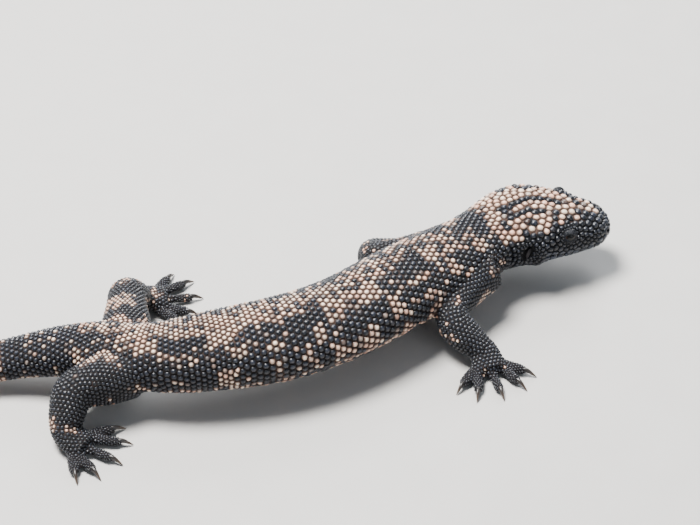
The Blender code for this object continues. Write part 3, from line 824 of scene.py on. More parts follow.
@dataclass(frozen=True)
class LipFinish:
    """Lip plate: smooth, glossy blue-black horn, clouded with slate, with painted shade that darkens its rim."""

    name: str = "lip_horn"
    black: tuple[float, float, float] = (0.008, 0.010, 0.016)
    slate: tuple[float, float, float] = (0.038, 0.052, 0.085)

    def material(self) -> bpy.types.Material:
        """Build the material from the plate's own numbers tone and crown."""
        material, tree, shader = new_material(self.name)
        fine = grain(tree, 420.0, 0.25)
        cloud = spread_range(tree, fine.outputs["Mask"], 0.38, 0.66, 0.0, 1.0)
        colour = mix(tree, cloud, self.black, mix(tree, attribute(tree, "tone"), self.black, self.slate))
        # painted shade: the plate darkens to black towards its rim
        rim = spread_range(tree, attribute(tree, "crown"), 0.25, 0.75, 0.9, 0.0)
        tree.links.new(mix(tree, rim, colour, self.black), shader.inputs["Base Color"])
        tree.links.new(spread_range(tree, fine.outputs["Mask"], 0.3, 0.7, 0.16, 0.34), shader.inputs["Roughness"])
        bumped(tree, shader, fine.outputs["Height"], 0.3, 0.0001)
        return material


@dataclass(frozen=True)
class ClawFinish:
    """Dark horn, browner and clearer towards the point, with fine streaks along it."""

    name: str = "claw_horn"
    root: tuple[float, float, float] = (0.020, 0.017, 0.016)
    point: tuple[float, float, float] = (0.10, 0.065, 0.045)

    def material(self) -> bpy.types.Material:
        """Build the material from the claw's own number along."""
        material, tree, shader = new_material(self.name)
        fine = grain(tree, 1400.0, 0.2)
        shade = mix(tree, spread_range(tree, attribute(tree, "along"), 0.35, 1.0, 0.0, 1.0), self.root, self.point)
        streak = spread_range(tree, fine.outputs["Mask"], 0.4, 0.7, 0.0, 0.4)
        tree.links.new(mix(tree, streak, shade, self.root), shader.inputs["Base Color"])
        tree.links.new(spread_range(tree, fine.outputs["Mask"], 0.3, 0.7, 0.22, 0.4), shader.inputs["Roughness"])
        bumped(tree, shader, fine.outputs["Height"], 0.4, 0.00008)
        return material


@dataclass(frozen=True)
class EyeFinish:
    """Wet eye: a black round pupil in a dark brown iris with fine threads."""

    name: str = "eye_wet_brown"
    pupil: tuple[float, float, float] = (0.002, 0.002, 0.002)
    iris: tuple[float, float, float] = (0.045, 0.020, 0.010)
    edge: tuple[float, float, float] = (0.010, 0.006, 0.005)

    def material(self) -> bpy.types.Material:
        """Build the material from the eye's own number ring, 0 at the pupil's middle."""
        material, tree, shader = new_material(self.name)
        ring = attribute(tree, "ring")
        fine = grain(tree, 2600.0, 0.4)
        iris = mix(tree, spread_range(tree, fine.outputs["Mask"], 0.4, 0.65, 0.0, 0.7), self.iris, self.edge)
        outer = mix(tree, spread_range(tree, ring, 0.42, 0.60, 0.0, 1.0), iris, self.edge)
        inner = spread_range(tree, ring, 0.20, 0.24, 0.0, 1.0)
        tree.links.new(mix(tree, inner, self.pupil, outer), shader.inputs["Base Color"])
        tree.links.new(spread_range(tree, fine.outputs["Mask"], 0.3, 0.7, 0.03, 0.07), shader.inputs["Roughness"])
        shader.inputs["IOR"].default_value = 1.34
        return material


@dataclass(frozen=True)
class EardrumFinish:
    """Thin dull skin stretched in the ear's cup."""

    name: str = "eardrum_thin_skin"
    skin: tuple[float, float, float] = (0.018, 0.015, 0.017)
    dark: tuple[float, float, float] = (0.007, 0.007, 0.009)

    def material(self) -> bpy.types.Material:
        """Build the material from the grain alone."""
        material, tree, shader = new_material(self.name)
        fine = grain(tree, 1200.0, 0.3)
        mottled = spread_range(tree, fine.outputs["Mask"], 0.35, 0.65, 0.0, 1.0)
        tree.links.new(mix(tree, mottled, self.skin, self.dark), shader.inputs["Base Color"])
        tree.links.new(spread_range(tree, fine.outputs["Mask"], 0.3, 0.7, 0.5, 0.7), shader.inputs["Roughness"])
        shader.inputs["Specular IOR Level"].default_value = 0.2
        bumped(tree, shader, fine.outputs["Height"], 0.4, 0.0001)
        return material


@dataclass(frozen=True)
class FloorFinish:
    """Plain pale studio floor with a faint tooth."""

    name: str = "floor_pale"
    pale: tuple[float, float, float] = (0.50, 0.485, 0.465)
    cool: tuple[float, float, float] = (0.475, 0.465, 0.45)

    def material(self) -> bpy.types.Material:
        """Build the material from broad, weak noise."""
        material, tree, shader = new_material(self.name)
        fine = grain(tree, 40.0, 0.2)
        tree.links.new(mix(tree, fine.outputs["Mask"], self.pale, self.cool), shader.inputs["Base Color"])
        tree.links.new(spread_range(tree, fine.outputs["Mask"], 0.3, 0.7, 0.6, 0.75), shader.inputs["Roughness"])
        bumped(tree, shader, fine.outputs["Height"], 0.1, 0.0002)
        return material


# ---------------------------------------------------------------- the skin


@dataclass
class Skin:
    """One seamless skin over the whole animal, inside the beads' tops by their depth."""

    form: Form
    markings: Markings
    cell: float = 0.95
    sides: int = 64
    head_depth: float = 1.15
    trunk_depth: float = 0.9
    limb_depth: float = 0.55
    toe_depth: float = 0.4
    floor_rise: float = 0.35
    root_smooth: int = 14

    def rough(self) -> tuple[Array, list[Array]]:
        """Closed tubes and balls that overlap, before they become one surface."""
        angle = np.arange(self.sides) / self.sides * 2 * np.pi
        pieces = []
        for tube in self.form.tubes:
            s = np.repeat(tube.at[:, None], self.sides, axis=1)
            grid = tube.surface(s, np.broadcast_to(angle, s.shape))
            pieces.append(closed_sweep(grid, tube.centre[0], tube.centre[-1]))
        head = self.form.head
        axes = self.form.head_axes(head.eye_at)
        for side in (1.0, -1.0):
            brow = self.form.on_head(head.eye_at + 0.5, side, head.eye_rise + 3.4, -2.6)
            pieces.append(self.ball(brow, head.brow_half, axes))
            pieces.append(self.ball(self.form.eye_centre(side), (head.lid_ball,) * 3, axes))
        return merged(pieces)

    def ball(self, centre: Array, half: tuple[float, ...], axes: tuple[Array, ...]) -> tuple[Array, list[Array]]:
        """A closed ellipsoid by latitude and longitude."""
        lat = np.linspace(-np.pi / 2, np.pi / 2, 14)[1:-1, None]
        lon = np.arange(24)[None, :] / 24 * 2 * np.pi
        shape = (np.cos(lat) * np.cos(lon), np.cos(lat) * np.sin(lon), np.sin(lat) + 0 * lon)
        grid = centre + sum(part[..., None] * size * axis for part, size, axis in zip(shape, half, axes))
        tip = axes[2] * half[2]
        return closed_sweep(grid, centre - tip, centre + tip)

    def build(self) -> bpy.types.Object:
        """Merge the rough pieces on a fine voxel grid, then ease, shape and sink the surface.

        Returns:
            The skin, with its number pale for the markings.
        """
        points, faces = self.rough()
        made = mesh_object("skin", points, faces)
        remesh = made.modifiers.new("one_surface", "REMESH")
        remesh.mode = "VOXEL"
        remesh.voxel_size = self.cell * MM
        bpy.context.view_layer.update()
        graph = bpy.context.evaluated_depsgraph_get()
        mesh = bpy.data.meshes.new_from_object(made.evaluated_get(graph))
        made.modifiers.clear()
        made.data = mesh
        mesh.shade_smooth()
        self.object = made
        self.read()
        self.ease()
        self.sink()
        self.shape_head()
        self.fold()
        self.points[:, 2] = np.maximum(self.points[:, 2], self.floor_rise)
        self.write()
        tube, s, angle, _ = self.form.locate(self.points)
        pale = self.markings.read(self.form, tube, s, angle, self.points)
        set_attribute(made, "pale", np.clip(pale, 0, 1))
        return made

    def read(self) -> None:
        """Take the points, edges and faces out of the mesh."""
        mesh = self.object.data
        self.points = np.empty(len(mesh.vertices) * 3)
        mesh.vertices.foreach_get("co", self.points)
        self.points = self.points.reshape(-1, 3) / MM
        self.edges = np.empty(len(mesh.edges) * 2, np.int32)
        mesh.edges.foreach_get("vertices", self.edges)
        self.edges = self.edges.reshape(-1, 2)
        self.degree = np.bincount(self.edges.ravel(), minlength=len(self.points))

    def write(self) -> None:
        """Put the points back and read the normals."""
        mesh = self.object.data
        mesh.vertices.foreach_set("co", (self.points * MM).astype(np.float32).ravel())
        mesh.update()
        self.normals = np.empty(len(mesh.vertices) * 3, np.float32)
        mesh.vertices.foreach_get("normal", self.normals)
        self.normals = self.normals.reshape(-1, 3).astype(float)

    def neighbour_mean(self) -> Array:
        """The mean of each point's neighbours along the edges."""
        one, two = self.edges.T
        total = np.empty_like(self.points)
        for k in range(3):
            column = self.points[:, k]
            total[:, k] = np.bincount(one, column[two], len(column)) + np.bincount(two, column[one], len(column))
        return total / self.degree[:, None]

    def ease(self) -> None:
        """Smooth all points forth and back to keep the volume, and the limbs' roots forth alone."""
        for _ in range(6):
            for share in (0.5, -0.53):
                self.points += share * (self.neighbour_mean() - self.points)
        tube, _, _, second = self.form.locate(self.points)
        close = ramp(second, 1.5, 1.05)[:, None]
        for _ in range(self.root_smooth):
            self.points += 0.5 * close * (self.neighbour_mean() - self.points)
        self.tube, self.s, self.angle, _ = self.form.locate(self.points)

    def depth(self, tube: Array, s: Array, angle: Array) -> Array:
        """How far the skin lies inside the beads' tops, less under the flat scales below."""
        names = [t.name for t in self.form.tubes]
        depth = self.head_depth + (self.trunk_depth - self.head_depth) * ramp(s, 64, 78)
        depth = depth * (1 - 0.4 * ramp(np.abs(angle - 270), 62, 44))
        limb = np.array([0.0 if n == "body" else (self.toe_depth if "toe" in n else self.limb_depth) for n in names])
        return np.where(tube == 0, depth, limb[tube])

    def sink(self) -> None:
        """Move the surface inwards along its normals by the beads' depth."""
        self.write()
        depth = self.depth(self.tube, self.s, self.angle)
        self.points = self.points - self.normals * depth[:, None]

    def shape_head(self) -> None:
        """Press the mouth's line, the nostrils, the ear cups and the eye sockets into the skin."""
        form, head = self.form, self.form.head
        near = self.s < 80
        near &= self.tube == 0
        points = self.points[near]
        self.write()
        normals = self.normals[near]
        for side in (1.0, -1.0):
            s = np.linspace(0.2, head.mouth_end, 90)
            line = form.on_head(s, side, smooth(s, head.mouth_at, head.mouth_rise), -1.0)
            gap = np.linalg.norm(points[:, None] - line[None], axis=2).min(1)
            points = points - normals * (1.25 * np.exp(-((gap / 1.15) ** 2)))[:, None]
            pit = form.on_head(head.nostril_at, side, head.nostril_rise, -1.0)
            gap = np.linalg.norm(points - pit, axis=1)
            points = points - normals * (2.4 * np.exp(-((gap / head.nostril_radius) ** 2)))[:, None]
            ear, back, up = self.ear_axes(side)
            x, z = (points - ear) @ back / head.ear_half[0], (points - ear) @ up / head.ear_half[1]
            lateral = form.head_axes(head.ear_at)[1] * side
            beside = (points - ear) @ lateral > -6
            q = np.sqrt(x**2 + z**2)
            points = points - lateral * (1.6 * ramp(q, 1.15, 0.6) * beside)[:, None]
            eye = form.eye_centre(side)
            back, left, up = form.head_axes(head.eye_at)
            offset = points - eye
            q = np.sqrt((offset @ back / 3.0) ** 2 + ((offset @ up - 0.7) / 2.3) ** 2)
            out = offset @ (left * side)
            points = points - (left * side) * (ramp(q, 1.1, 0.7) * np.maximum(out - 0.4, 0) * (out > -2))[:, None]
        self.points[near] = points

    def ear_axes(self, side: float) -> tuple[Array, Array, Array]:
        """The ear's middle and its leaning directions back and up."""
        head = self.form.head
        back, _, up = self.form.head_axes(head.ear_at)
        c, d = math.cos(math.radians(head.ear_lean)), math.sin(math.radians(head.ear_lean))
        return self.form.on_head(head.ear_at, side, head.ear_rise), back * c + up * d, up * c - back * d

    def fold(self) -> None:
        """Loose folds: across the throat and neck, and along the flanks."""
        s, angle = self.s, self.angle
        body = self.tube == 0
        under = ramp(np.abs(angle - 270), 150, 95)
        wave = value_noise(self.points, 16.0, 21)
        depth = 0.0
        for place, width, amount in ((70.5, 1.9, 1.1), (79.0, 2.2, 0.7), (88.0, 2.4, 0.5)):
            depth = depth + amount * under * np.exp(-(((s + 1.8 * wave - place) / width) ** 2))
        flank = np.minimum(np.abs(angle - 204), np.abs(angle - 336))
        along = ramp(s, 96, 112) * ramp(s, 238, 222)
        depth = depth + 0.75 * along * np.exp(-(((flank + 3 * wave) / 5.0) ** 2))
        ripple = np.sin((s + 2.5 * wave) / 5.2 * 2 * np.pi / 2)
        depth = depth + 0.18 * along * ripple * ramp(flank, 40, 12)
        depth = np.where(body, depth, 0.0)
        self.write()
        self.points = self.points - self.normals * depth[:, None]

    def dress(self) -> None:
        """Give the skin its finish and its place in the model."""
        self.object.data.materials.clear()
        self.object.data.materials.append(SkinFinish().material())
        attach(self.object, "root")
        flesh = [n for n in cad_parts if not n.startswith(("eye_", "eardrum_"))]
        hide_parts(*flesh)


# ---------------------------------------------------------------- the beads


class Zone(Enum):
    """The coat's pieces."""

    HEAD = "coat_head"
    NECK_CHEST = "coat_neck_chest"
    BELLY = "coat_belly"
    LOIN = "coat_loin"
    RUMP = "coat_rump"
    TAIL = "coat_tail"
    FORELEG_RIGHT = "coat_foreleg_right"
    FORELEG_LEFT = "coat_foreleg_left"
    HINDLEG_RIGHT = "coat_hindleg_right"
    HINDLEG_LEFT = "coat_hindleg_left"
    LIPS = "lip_plates"


@dataclass
class Coat:
    """Round beads over the skin: staggered rows on trunk, tail and limbs, and uneven plates on the head."""

    form: Form
    skin: Skin
    markings: Markings
    trunk_step: float = 3.4
    rump_step: float = 2.95
    head_step: float = 4.3
    limb_step: float = 2.35
    toe_step: float = 1.55
    row_share: float = 0.84
    lip_step: float = 4.5
    lip_rise: float = 2.1
    rounds: int = 10
    gap: float = 0.07
    round_share: float = 0.96
    seed: int = 11
    sides: dict[Zone, int] = field(
        default_factory=lambda: {zone: {Zone.HEAD: 16, Zone.LIPS: 24}.get(zone, 12) for zone in Zone}
    )
    rings: tuple[float, ...] = (1.0, 0.94, 0.72, 0.40)
    # how far up trunk and limb beads the finish's painted rim shade reaches
    shade_rim_power: float = 1.5

    def step(self, tube: Array, s: Array, angle: Array, points: Array) -> Array:
        """The distance wanted between beads' middles at places on the skin."""
        head = self.form.head
        names = [t.name for t in self.form.tubes]
        crown = 3.0 + (self.head_step + 0.1 - 3.0) * ramp(s, 10, 42) + 0.45 * value_noise(points, 6.0, 41)
        crown = crown + 1.4 * ramp(np.abs(angle - 90), 62, 38) * ramp(s, 42, 20)
        crown = crown - 0.5 * ramp(np.abs(angle - 270), 70, 50) * ramp(s, 20, 34)
        trunk = self.trunk_step + (self.rump_step - self.trunk_step) * ramp(s, 200, 235)
        body = crown + (trunk - crown) * ramp(s, 66, 78)
        body = body - 0.35 * ramp(s, 330, 430)
        for side in (1.0, -1.0):
            eye = np.linalg.norm(points - self.form.eye_centre(side), axis=1)
            body = np.minimum(body, 1.25 + 0.7 * np.maximum(eye - head.lid_ball + 0.4, 0))
            ear = np.linalg.norm(points - self.form.on_head(head.ear_at, side, head.ear_rise), axis=1)
            body = np.minimum(body, 2.0 + 0.4 * np.maximum(ear - 5.0, 0))
            nose = np.linalg.norm(points - self.form.on_head(head.nostril_at, side, head.nostril_rise), axis=1)
            body = np.minimum(body, 1.9 + 0.7 * np.maximum(nose - 1.6, 0))
        limb = np.array([self.toe_step if "toe" in n else self.limb_step for n in names])[tube]
        longs = np.array([t.at[-1] for t in self.form.tubes])[tube]
        limb = limb + np.where(limb > self.toe_step, 0.25 - 0.55 * ramp(s / longs, 0.45, 0.95), 0.0)
        return np.where(tube == 0, body, limb)

    def rows(self, tube: Tube, start: float, end: float, step: float, depth: float, lean: float = 0.0) -> Array:
        """Staggered rows: even steps of arc round each section from the mid-line of the back.

        Args:
            tube: the form that carries them.
            start: first row's length.
            end: last row's length.
            step: distance between beads in a row.
            depth: how far the skin lies inside the form.
            lean: how far a row runs back down the sides, for each unit of its way.

        Returns:
            The beads' roots.
        """
        angle = np.radians(90 + np.linspace(0, 360, 721))
        found = []
        for number, s in enumerate(np.arange(start, end, step * self.row_share)):
            way = 20.0 * np.sin(np.clip(angle - angle[0], 0, 2 * np.pi) / 2) ** 2
            at = s + lean * way * float(ramp(s, 80, 100) * ramp(s, 195, 175))
            ring = tube.surface(np.minimum(at, tube.at[-1]), angle, -depth)
            arc = np.r_[0, np.cumsum(np.linalg.norm(np.diff(ring, axis=0), axis=1))]
            count = max(5, round(arc[-1] / step))
            places = (np.arange(count) + 0.5 * (number % 2)) * arc[-1] / count
            found.append(np.stack([np.interp(places, arc, ring[:, k]) for k in range(3)], -1))
        return np.vstack(found)

    def lip_roots(self) -> Array:
        """A plate's middle at even steps along both lips, from the snout's tip to the corners of the mouth."""
        head, found = self.form.head, []
        s = np.r_[np.geomspace(0.15, 2, 30), np.linspace(2.2, head.mouth_end, 150)]
        rise = smooth(s, head.mouth_at, head.mouth_rise)
        sides = [self.form.on_head(s, side, rise, -self.skin.head_depth) for side in (1.0, -1.0)]
        line = np.vstack((sides[0][::-1], sides[1]))
        arc = np.r_[0, np.cumsum(np.linalg.norm(np.diff(line, axis=0), axis=1))]
        half = arc[-1] / 2
        count = int(half / self.lip_step)
        places = half + np.arange(-count, count + 1) * self.lip_step
        middle = np.stack([np.interp(places, arc, line[:, k]) for k in range(3)], -1)
        for lift in (self.lip_rise, -self.lip_rise):
            found.append(middle + np.array((0, 0, lift)))
        return np.vstack(found)

    def settle(self) -> None:
        """Lay all roots on the skin, fill its bare places, then push the roots apart until they are even."""
        form, skin = self.form, self.skin
        faces = np.empty(len(skin.object.data.loops), np.int32)
        skin.object.data.loops.foreach_get("vertex_index", faces)
        self.tree = BVHTree.FromPolygons(skin.points.tolist(), faces.reshape(-1, 4).tolist())
        body = form.tubes[0]
        sets = [(self.lip_roots(), 3.0)]
        sets.append((self.rows(body, 66.0, 228.0, self.trunk_step, skin.trunk_depth, 0.3), 1.4))
        sets.append((self.rows(body, 230.5, form.spine.long - 1.5, self.rump_step, skin.trunk_depth), 1.4))
        for tube in form.tubes[1:]:
            toe = "toe" in tube.name
            step = self.toe_step if toe else self.limb_step
            depth = skin.toe_depth if toe else skin.limb_depth
            sets.append((self.rows(tube, 3.0 if toe else 6.0, tube.at[-1], step, depth), 1.1))
        roots, pinned = np.zeros((0, 3)), np.zeros(0, bool)
        for number, (points, tolerance) in enumerate(sets):
            laid, _, moved = self.lay(points)
            laid = laid[moved < tolerance]
            roots = np.vstack((roots, laid))
            pinned = np.r_[pinned, np.full(len(laid), number == 0)]
        self.roots, self.pinned = roots, pinned
        self.thin(0.70)
        self.fill(0.66)
        for _ in range(self.rounds):
            self.push_apart()
        self.thin(0.60)
        self.clear_openings()
        LOG.info("beads: %d roots", len(self.roots))

    def lay(self, points: Array) -> tuple[Array, Array, Array]:
        """The nearest place on the skin for each point, the skin's normal there and how far it moved."""
        found = [self.tree.find_nearest(p) for p in points.tolist()]
        laid = np.array([tuple(f[0]) for f in found])
        normals = np.array([tuple(f[1]) for f in found])
        return laid, normals, np.linalg.norm(laid - points, axis=1)

    def wanted(self, points: Array) -> Array:
        """The step wanted at each of some points on the skin."""
        tube, s, angle, _ = self.form.locate(points)
        return self.step(tube, s, angle, points)

    def keep(self, mask: Array) -> None:
        """Keep the roots that the mask says."""
        self.roots, self.pinned = self.roots[mask], self.pinned[mask]

    def root_steps(self) -> Array:
        """The step wanted at each root, which is a lip plate's own where the root is one."""
        return np.where(self.pinned, self.lip_step, self.wanted(self.roots))

    def thin(self, share: float) -> None:
        """Drop each root that is nearer to an earlier one than a share of the step wanted."""
        want = self.root_steps()
        tree = tree_of(self.roots)
        alive = np.ones(len(self.roots), bool)
        for index, root in enumerate(self.roots.tolist()):
            if alive[index]:
                for _, other, _ in tree.find_range(root, share * want[index]):
                    if other > index:
                        alive[other] = False
        self.keep(alive)

    def fill(self, share: float) -> None:
        """Add roots at points of the skin that are further from every root than a share of the step wanted."""
        tree = tree_of(self.roots)
        points = self.skin.points
        want = self.wanted(points)
        order = np.random.default_rng(self.seed).permutation(len(points))
        distance = np.array([tree.find(p)[2] for p in points.tolist()])
        order = order[distance[order] > share * want[order]]
        added = np.zeros((0, 3))
        for index in order:
            if len(added) == 0 or np.linalg.norm(added - points[index], axis=1).min() > share * want[index]:
                added = np.vstack((added, points[index]))
        self.roots = np.vstack((self.roots, added))
        self.pinned = np.r_[self.pinned, np.zeros(len(added), bool)]
        LOG.info("beads: %d added to bare places", len(added))

    def push_apart(self) -> None:
        """Move each root away from nearer neighbours than the step wanted, along the skin."""
        want = self.root_steps()
        near, vectors, distance = neighbours(self.roots, 8)
        target = 0.5 * (want[:, None] + want[near]) * 1.02
        push = np.clip(target - distance, 0, None) / np.maximum(distance, 1e-6)
        shift = -(vectors * push[..., None]).sum(1) * 0.28
        shift[self.pinned] = 0
        self.roots, self.normals, _ = self.lay(self.roots + shift)

    def clear_openings(self) -> None:
        """Drop the roots in the eyes' lids, the nostrils, the ear cups and the mouth's line."""
        form, head, roots = self.form, self.form.head, self.roots
        clear = np.zeros(len(roots), bool)
        for side in (1.0, -1.0):
            back, left, up = form.head_axes(head.eye_at)
            offset = roots - form.eye_centre(side)
            q = np.sqrt((offset @ back / 2.95) ** 2 + ((offset @ up - 0.6) / 2.45) ** 2)
            clear |= (q < 1) & (offset @ (left * side) > -3)
            pit = form.on_head(head.nostril_at, side, head.nostril_rise, -self.skin.head_depth)
            clear |= (np.linalg.norm(roots - pit, axis=1) < head.nostril_radius + 1.5) & ~self.pinned
            ear, back, up = self.skin.ear_axes(side)
            offset = roots - ear
            q = np.sqrt((offset @ back / (head.ear_half[0] + 0.5)) ** 2 + (offset @ up / (head.ear_half[1] + 0.5)) ** 2)
            clear |= (q < 1) & (np.linalg.norm(offset, axis=1) < 9)
            s = np.linspace(0.2, head.mouth_end, 90)
            line = form.on_head(s, side, smooth(s, head.mouth_at, head.mouth_rise), -self.skin.head_depth)
            gap = np.linalg.norm(roots[:, None] - line[None], axis=2).min(1)
            clear |= (gap < 2.6) & ~self.pinned
        self.keep(~clear)

    def build(self) -> dict[Zone, bpy.types.Object]:
        """Make every bead and join those of each zone.

        Returns:
            The coat's pieces.
        """
        self.settle()
        form, roots = self.form, self.roots
        roots, normals, _ = self.lay(roots)
        normals = self.soft_normals(roots, normals)
        self.roots = roots
        tube, s, angle, _ = form.locate(roots)
        want = self.root_steps()
        near, vectors, _ = neighbours(roots, 10)
        pale = self.markings.read(form, tube, s, angle, roots)
        rng = np.random.default_rng(self.seed)
        jitter = 0.30 + 0.12 * ramp(s, 66, 80)
        pale = ramp(pale + jitter * rng.uniform(-1, 1, len(roots)), 0.42, 0.58)
        pale = pale * (1 - 0.5 * rng.random(len(roots)) ** 3)
        creamy = 0.44 + 0.28 * ramp(s, 70, 220) * (tube == 0)
        tone = np.clip(creamy + 0.33 * value_noise(roots, 10.0, 31) + rng.normal(0, 0.28, len(roots)), 0, 1)
        zone = np.where(self.pinned, list(Zone).index(Zone.LIPS), self.zones(tube, s))
        facts = (roots, normals, want, near, vectors, s, angle, tube, pale, tone)
        made = {}
        for number, kind in enumerate(Zone):
            made[kind] = self.piece(kind, np.flatnonzero(zone == number), facts, rng)
        return made

    def soft_normals(self, roots: Array, normals: Array) -> Array:
        """Each root's normal as the mean of the skin's normals at its nearest points."""
        tree = tree_of(self.skin.points)
        near = np.array([[f[1] for f in tree.find_n(p, 5)] for p in roots.tolist()])
        mean = unit(self.skin.normals[near].sum(1))
        turned = (mean * normals).sum(1) < 0
        mean[turned] = normals[turned]
        return mean

    def zones(self, tube: Array, s: Array) -> Array:
        """The zone's number for each bead."""
        names = [t.name for t in self.form.tubes]
        order = list(Zone)
        limb = [Zone.HEAD if n == "body" else Zone("coat_" + n.split("_toe_")[0]) for n in names]
        limb = np.array([order.index(z) for z in limb])
        return np.where(tube == 0, np.searchsorted((68.0, 136.0, 188.0, 240.0, 300.0), s, side="right"), limb[tube])

    def height(self, tube: Array, s: Array, angle: Array, want: Array) -> Array:
        """A bead's height: a share of its step, domed on top of head and trunk and flat underneath."""
        domed = want * 0.38
        face = ramp(np.abs(angle - 90), 60, 85) * ramp(s, 66, 58) + ramp(s, 16, 8)
        domed = domed * (1 - 0.30 * np.clip(face, 0, 1) * (tube == 0))
        under = ramp(np.abs(angle - 270), 72, 50)
        domed = np.where(tube == 0, domed * (1 - 0.6 * under), want * (0.30 - 0.14 * ramp(np.abs(angle - 270), 80, 40)))
        limit = self.skin.depth(tube, s, angle) * 1.12
        return np.minimum(domed, limit)

    def outline(self, zone: Zone, pick: Array, facts: tuple, axes: tuple[Array, Array]) -> Array:
        """How far a bead reaches in each direction: the soft least of its distances to the lines midway to neighbours.

        Args:
            zone: which piece, because a lip plate fills its corners more than a bead does.
            pick: the beads' numbers.
            facts: what is known of every bead.
            axes: the two directions along the skin for each bead.

        Returns:
            Radii, (beads, sides).
        """
        sides, (full, power) = self.sides[zone], (0.78, 13) if zone is Zone.LIPS else (0.70, 6)
        want, near, vectors = facts[2], facts[3], facts[4]
        x = (vectors[pick] * axes[0][:, None]).sum(2)
        y = (vectors[pick] * axes[1][:, None]).sum(2)
        flat = np.maximum(np.hypot(x, y), 1e-6)
        share = want[pick][:, None] / (want[pick][:, None] + want[near[pick]])
        turn = np.arange(sides) / sides * 2 * np.pi
        cosine = (x[..., None] * np.cos(turn) + y[..., None] * np.sin(turn)) / flat[..., None]
        reach = (flat * share)[..., None] / np.maximum(cosine, 1e-3)
        inverse = np.where(cosine > 0.12, 1 / reach, 0.0) ** power
        limit = 1 / (full * want[pick][:, None]) ** power
        return self.round_share * (inverse.sum(1) + limit) ** (-1 / power) - self.gap

    def piece(self, zone: Zone, pick: Array, facts: tuple, rng: np.random.Generator) -> bpy.types.Object:
        """One zone's beads: rings of each outline, raised by h (1 - t ** 2) ** 0.72 over the skin, lips flatter.

        Args:
            zone: which piece.
            pick: the beads' numbers.
            facts: what is known of every bead.
            rng: source of the small differences between beads.

        Returns:
            The piece, with numbers pale, tone and crown and the map OFBake.
        """
        roots, normals, want, _, _, s, angle, tube, pale, tone = (f[pick] for f in facts)
        sides = self.sides[zone]
        along = np.empty_like(roots)
        for number, made in enumerate(self.form.tubes):
            on = tube == number
            if on.any():
                along[on] = np.stack([np.interp(s[on], made.at, made.along[:, k]) for k in range(3)], -1)
        across = unit(np.cross(normals, along))
        ahead = np.cross(across, normals)
        radius = np.maximum(self.outline(zone, pick, facts, (across, ahead)), 0.25)
        high = self.height(tube, s, angle, want) * rng.uniform(0.86, 1.12, len(pick))
        tilt = rng.normal(0, 0.045, (2, len(pick)))
        turn = np.arange(sides) / sides * 2 * np.pi
        t = np.array(self.rings)
        lift = (1 - t**3) ** 0.5 if zone is Zone.LIPS else (1 - t**2) ** 0.72
        high = high * (0.6 if zone is Zone.LIPS else 1.0)
        flat_x = radius[:, None] * t[:, None] * np.cos(turn)
        flat_y = radius[:, None] * t[:, None] * np.sin(turn)
        rise = high[:, None, None] * lift[:, None] + 0 * flat_x
        rise = rise + tilt[0][:, None, None] * flat_x + tilt[1][:, None, None] * flat_y
        rise[:, 0] = -0.32
        points = roots[:, None, None] + across[:, None, None] * flat_x[..., None]
        points = points + ahead[:, None, None] * flat_y[..., None]
        upright = normals[:, None, None]
        if zone is Zone.LIPS:
            points, upright = self.bent(points, upright)
        points = points + upright * rise[..., None]
        top = roots + normals * high[:, None]
        count, rings = len(pick), len(t)
        block = np.concatenate((points.reshape(count, -1, 3), top[:, None]), axis=1)
        block[..., 2] = np.maximum(block[..., 2], 0.03)
        size = rings * sides + 1
        base = (np.arange(count) * size)[:, None, None]
        quads = swept_faces(rings, sides)[None] + base
        k = np.arange(sides)
        last = (rings - 1) * sides
        caps = np.stack((last + k, last + (k + 1) % sides, np.full(sides, rings * sides)), 1)[None] + base
        floor = k[::-1][None, None] + base
        made = mesh_object(
            zone.value, block.reshape(-1, 3), [quads.reshape(-1, 4), caps.reshape(-1, 3), floor.reshape(-1, sides)]
        )
        # crown is each ring's share of the bead's height; on trunk and limbs it is raised to a power so the painted rim
        # shade reaches higher
        crown = np.r_[np.repeat(lift, sides), 1.0] ** (1.0 if zone in (Zone.HEAD, Zone.LIPS) else self.shade_rim_power)
        set_attribute(made, "crown", np.tile(crown, count))
        set_attribute(made, "pale", np.repeat(pale, size))
        set_attribute(made, "tone", np.repeat(tone, size))
        place = self.unwrap(tube, s, angle)
        patch = np.concatenate((np.stack((flat_x, flat_y), -1).reshape(count, -1, 2), np.zeros((count, 1, 2))), axis=1)
        patch = patch / radius.max(1)[:, None, None] * 0.0015
        set_uv(made, "OFBake", (place[:, None] + patch).reshape(-1, 2))
        return made

    def bent(self, points: Array, upright: Array) -> tuple[Array, Array]:
        """A flat plate's points laid on the skin, and directions between the plate's own and the skin's."""
        laid, local, _ = self.lay(points.reshape(-1, 3))
        return laid.reshape(points.shape), unit(local.reshape(points.shape) + 1.5 * upright)

    def unwrap(self, tube: Array, s: Array, angle: Array) -> Array:
        """Where the skin's places lie on its unwrap: u along and v round the body, with the limbs in bands above.

        Args:
            tube: numbers of the tubes.
            s: lengths along them.
            angle: degrees round them.

        Returns:
            Places from 0 to 1, (n, 2).
        """
        longs = np.array([t.at[-1] for t in self.form.tubes])[tube]
        around = ((angle + 90) % 360) / 360
        limb, toe = (tube - 1) // 6, (tube - 1) % 6 - 1
        u = np.where(tube == 0, s / longs, np.where(toe < 0, 0.25 * (limb + s / longs), 0.25 * limb + 0.05 * (toe + around)))
        v = np.where(tube == 0, 0.6 * around, np.where(toe < 0, 0.62 + 0.17 * around, 0.81 + 0.18 * s / longs))
        return np.stack((0.003 + 0.992 * u, 0.003 + 0.992 * v), -1)

    def dress(self, pieces: dict[Zone, bpy.types.Object]) -> None:
        """Give every piece of the coat its finish and its place in the model."""
        bead, lip = BeadFinish().material(), LipFinish().material()
        for zone, piece in pieces.items():
            piece.data.materials.append(lip if zone is Zone.LIPS else bead)
            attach(piece, "root")


def tree_of(points: Array) -> KDTree:
    """A search tree of points."""
    tree = KDTree(len(points))
    for index, point in enumerate(points.tolist()):
        tree.insert(point, index)
    tree.balance()
    return tree


